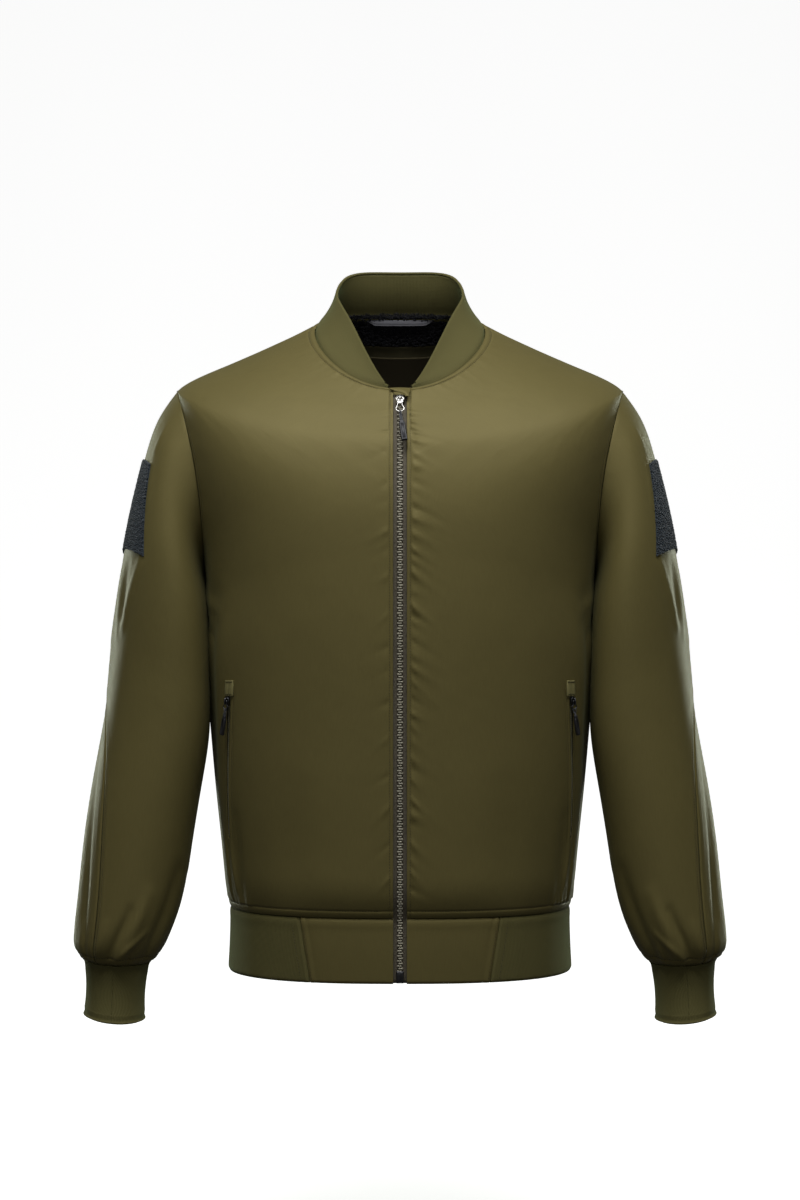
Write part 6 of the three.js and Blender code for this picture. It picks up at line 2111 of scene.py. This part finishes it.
class Studio:
    """Camera, lights and the pale floor."""

    eye: Triple = (0.0, -2.4, -0.272)
    floor_z: float = -0.95
    floor_front: float = -4.5
    floor_flat: float = 6.5  # metres of floor before it curves up
    floor_curve: float = 2.5  # metres along its curve
    floor_length: float = 14.0

    def build(self) -> None:
        """Builds the camera, the floor, the backdrop and the lights."""
        self.build_camera()
        self.build_floor()
        self.build_lights()

    def build_camera(self) -> None:
        """The camera at the photograph's height and distance."""
        lens = bpy.data.cameras.new("camera")
        lens.lens = 72
        lens.sensor_width = 36
        lens.clip_end = 40
        camera = bpy.data.objects.new("camera", lens)
        camera.location = self.eye
        camera.rotation_euler = (math.pi / 2, 0, 0)
        bpy.context.scene.collection.objects.link(camera)
        bpy.context.scene.camera = camera

    def build_floor(self) -> None:
        """A plain pale floor that curves up behind the jacket."""
        radius = self.floor_curve / (math.pi / 2)
        bm = bmesh.new()
        bmesh.ops.create_grid(bm, x_segments=1, y_segments=60, size=1)
        for vert in bm.verts:
            along = (vert.co.y + 1) / 2 * self.floor_length
            bend = min(max((along - self.floor_flat) / self.floor_curve, 0), 1) * math.pi / 2
            forward = min(along, self.floor_flat) + self.floor_front + radius * math.sin(bend)
            rise = max(along - self.floor_flat - self.floor_curve, 0) + radius * (1 - math.cos(bend))
            vert.co = Vector((vert.co.x * self.floor_length / 2, forward, rise + self.floor_z))
        mesh = bpy.data.meshes.new("floor")
        bm.to_mesh(mesh)
        bm.free()
        mesh.shade_smooth()
        floor = bpy.data.objects.new("floor", mesh)
        bpy.context.scene.collection.objects.link(floor)
        floor.visible_diffuse = False
        floor.visible_glossy = False
        graph = Graph("floor")
        tone = graph.noise(graph.space, 900, 1)
        graph.shade(tone, (1.0, 1.0, 1.0), (0.3, 0.93), (0.7, 0.95))
        graph.set(Roughness=0.9, Emission_Strength=0.75, Emission_Color=(1, 1, 1, 1))
        mesh.materials.append(graph.material)

    def light(
        self, name: str, place: Triple, aim: Triple, size: Pair, power: float,
        colour: Triple = (1, 1, 1),
    ) -> None:
        """Adds a soft rectangular light.

        Args:
            name: Its name.
            place: Where it stands.
            aim: What it points at.
            size: Its width and height.
            power: Its power in watts.
            colour: Its colour.
        """
        lamp = bpy.data.lights.new(name, "AREA")
        lamp.shape = "RECTANGLE"
        lamp.size, lamp.size_y = size
        lamp.energy = power
        lamp.color = colour
        holder = bpy.data.objects.new(name, lamp)
        holder.location = place
        holder.rotation_euler = (Vector(aim) - Vector(place)).to_track_quat("-Z", "Y").to_euler()
        bpy.context.scene.collection.objects.link(holder)

    def build_lights(self) -> None:
        """A soft key from above, a fill from the front, and a rim light behind each side."""
        world = bpy.data.worlds.new("world")
        world.use_nodes = True
        sky = world.node_tree.nodes["Background"]
        sky.inputs["Color"].default_value = (1, 1, 1, 1)
        sky.inputs["Strength"].default_value = 0.06
        bpy.context.scene.world = world
        bpy.context.scene.view_settings.view_transform = "Standard"
        self.light("key", (0, -1.0, 1.7), (0, 0, 0.0), (2.0, 0.9), 54)
        self.light("front", (0, -2.3, 0.1), (0, 0, 0), (1.6, 0.6), 4)
        for name, x in (("rim_left", 1.9), ("rim_right", -1.9)):
            self.light(name, (x, 1.9, -0.1), (0, 0.05, -0.35), (0.4, 1.8), 20, (0.92, 1.0, 0.85))


def main() -> None:
    """Builds the jacket and its studio."""
    logging.basicConfig(level=logging.INFO, format="%(name)s: %(message)s")
    Studio().build()
    finishes = Finishes()
    torso = Torso(finishes)
    torso.build()
    sleeves = Sleeves(finishes, torso)
    sleeves.build()
    Ribs(finishes).build()
    NeckLining(finishes, torso).build()
    FrontZip(finishes).build()
    pockets = Pockets(finishes, torso)
    pockets.build()
    Stitching(finishes, torso, sleeves, pockets).build()


if __name__ == "__main__":
    main()
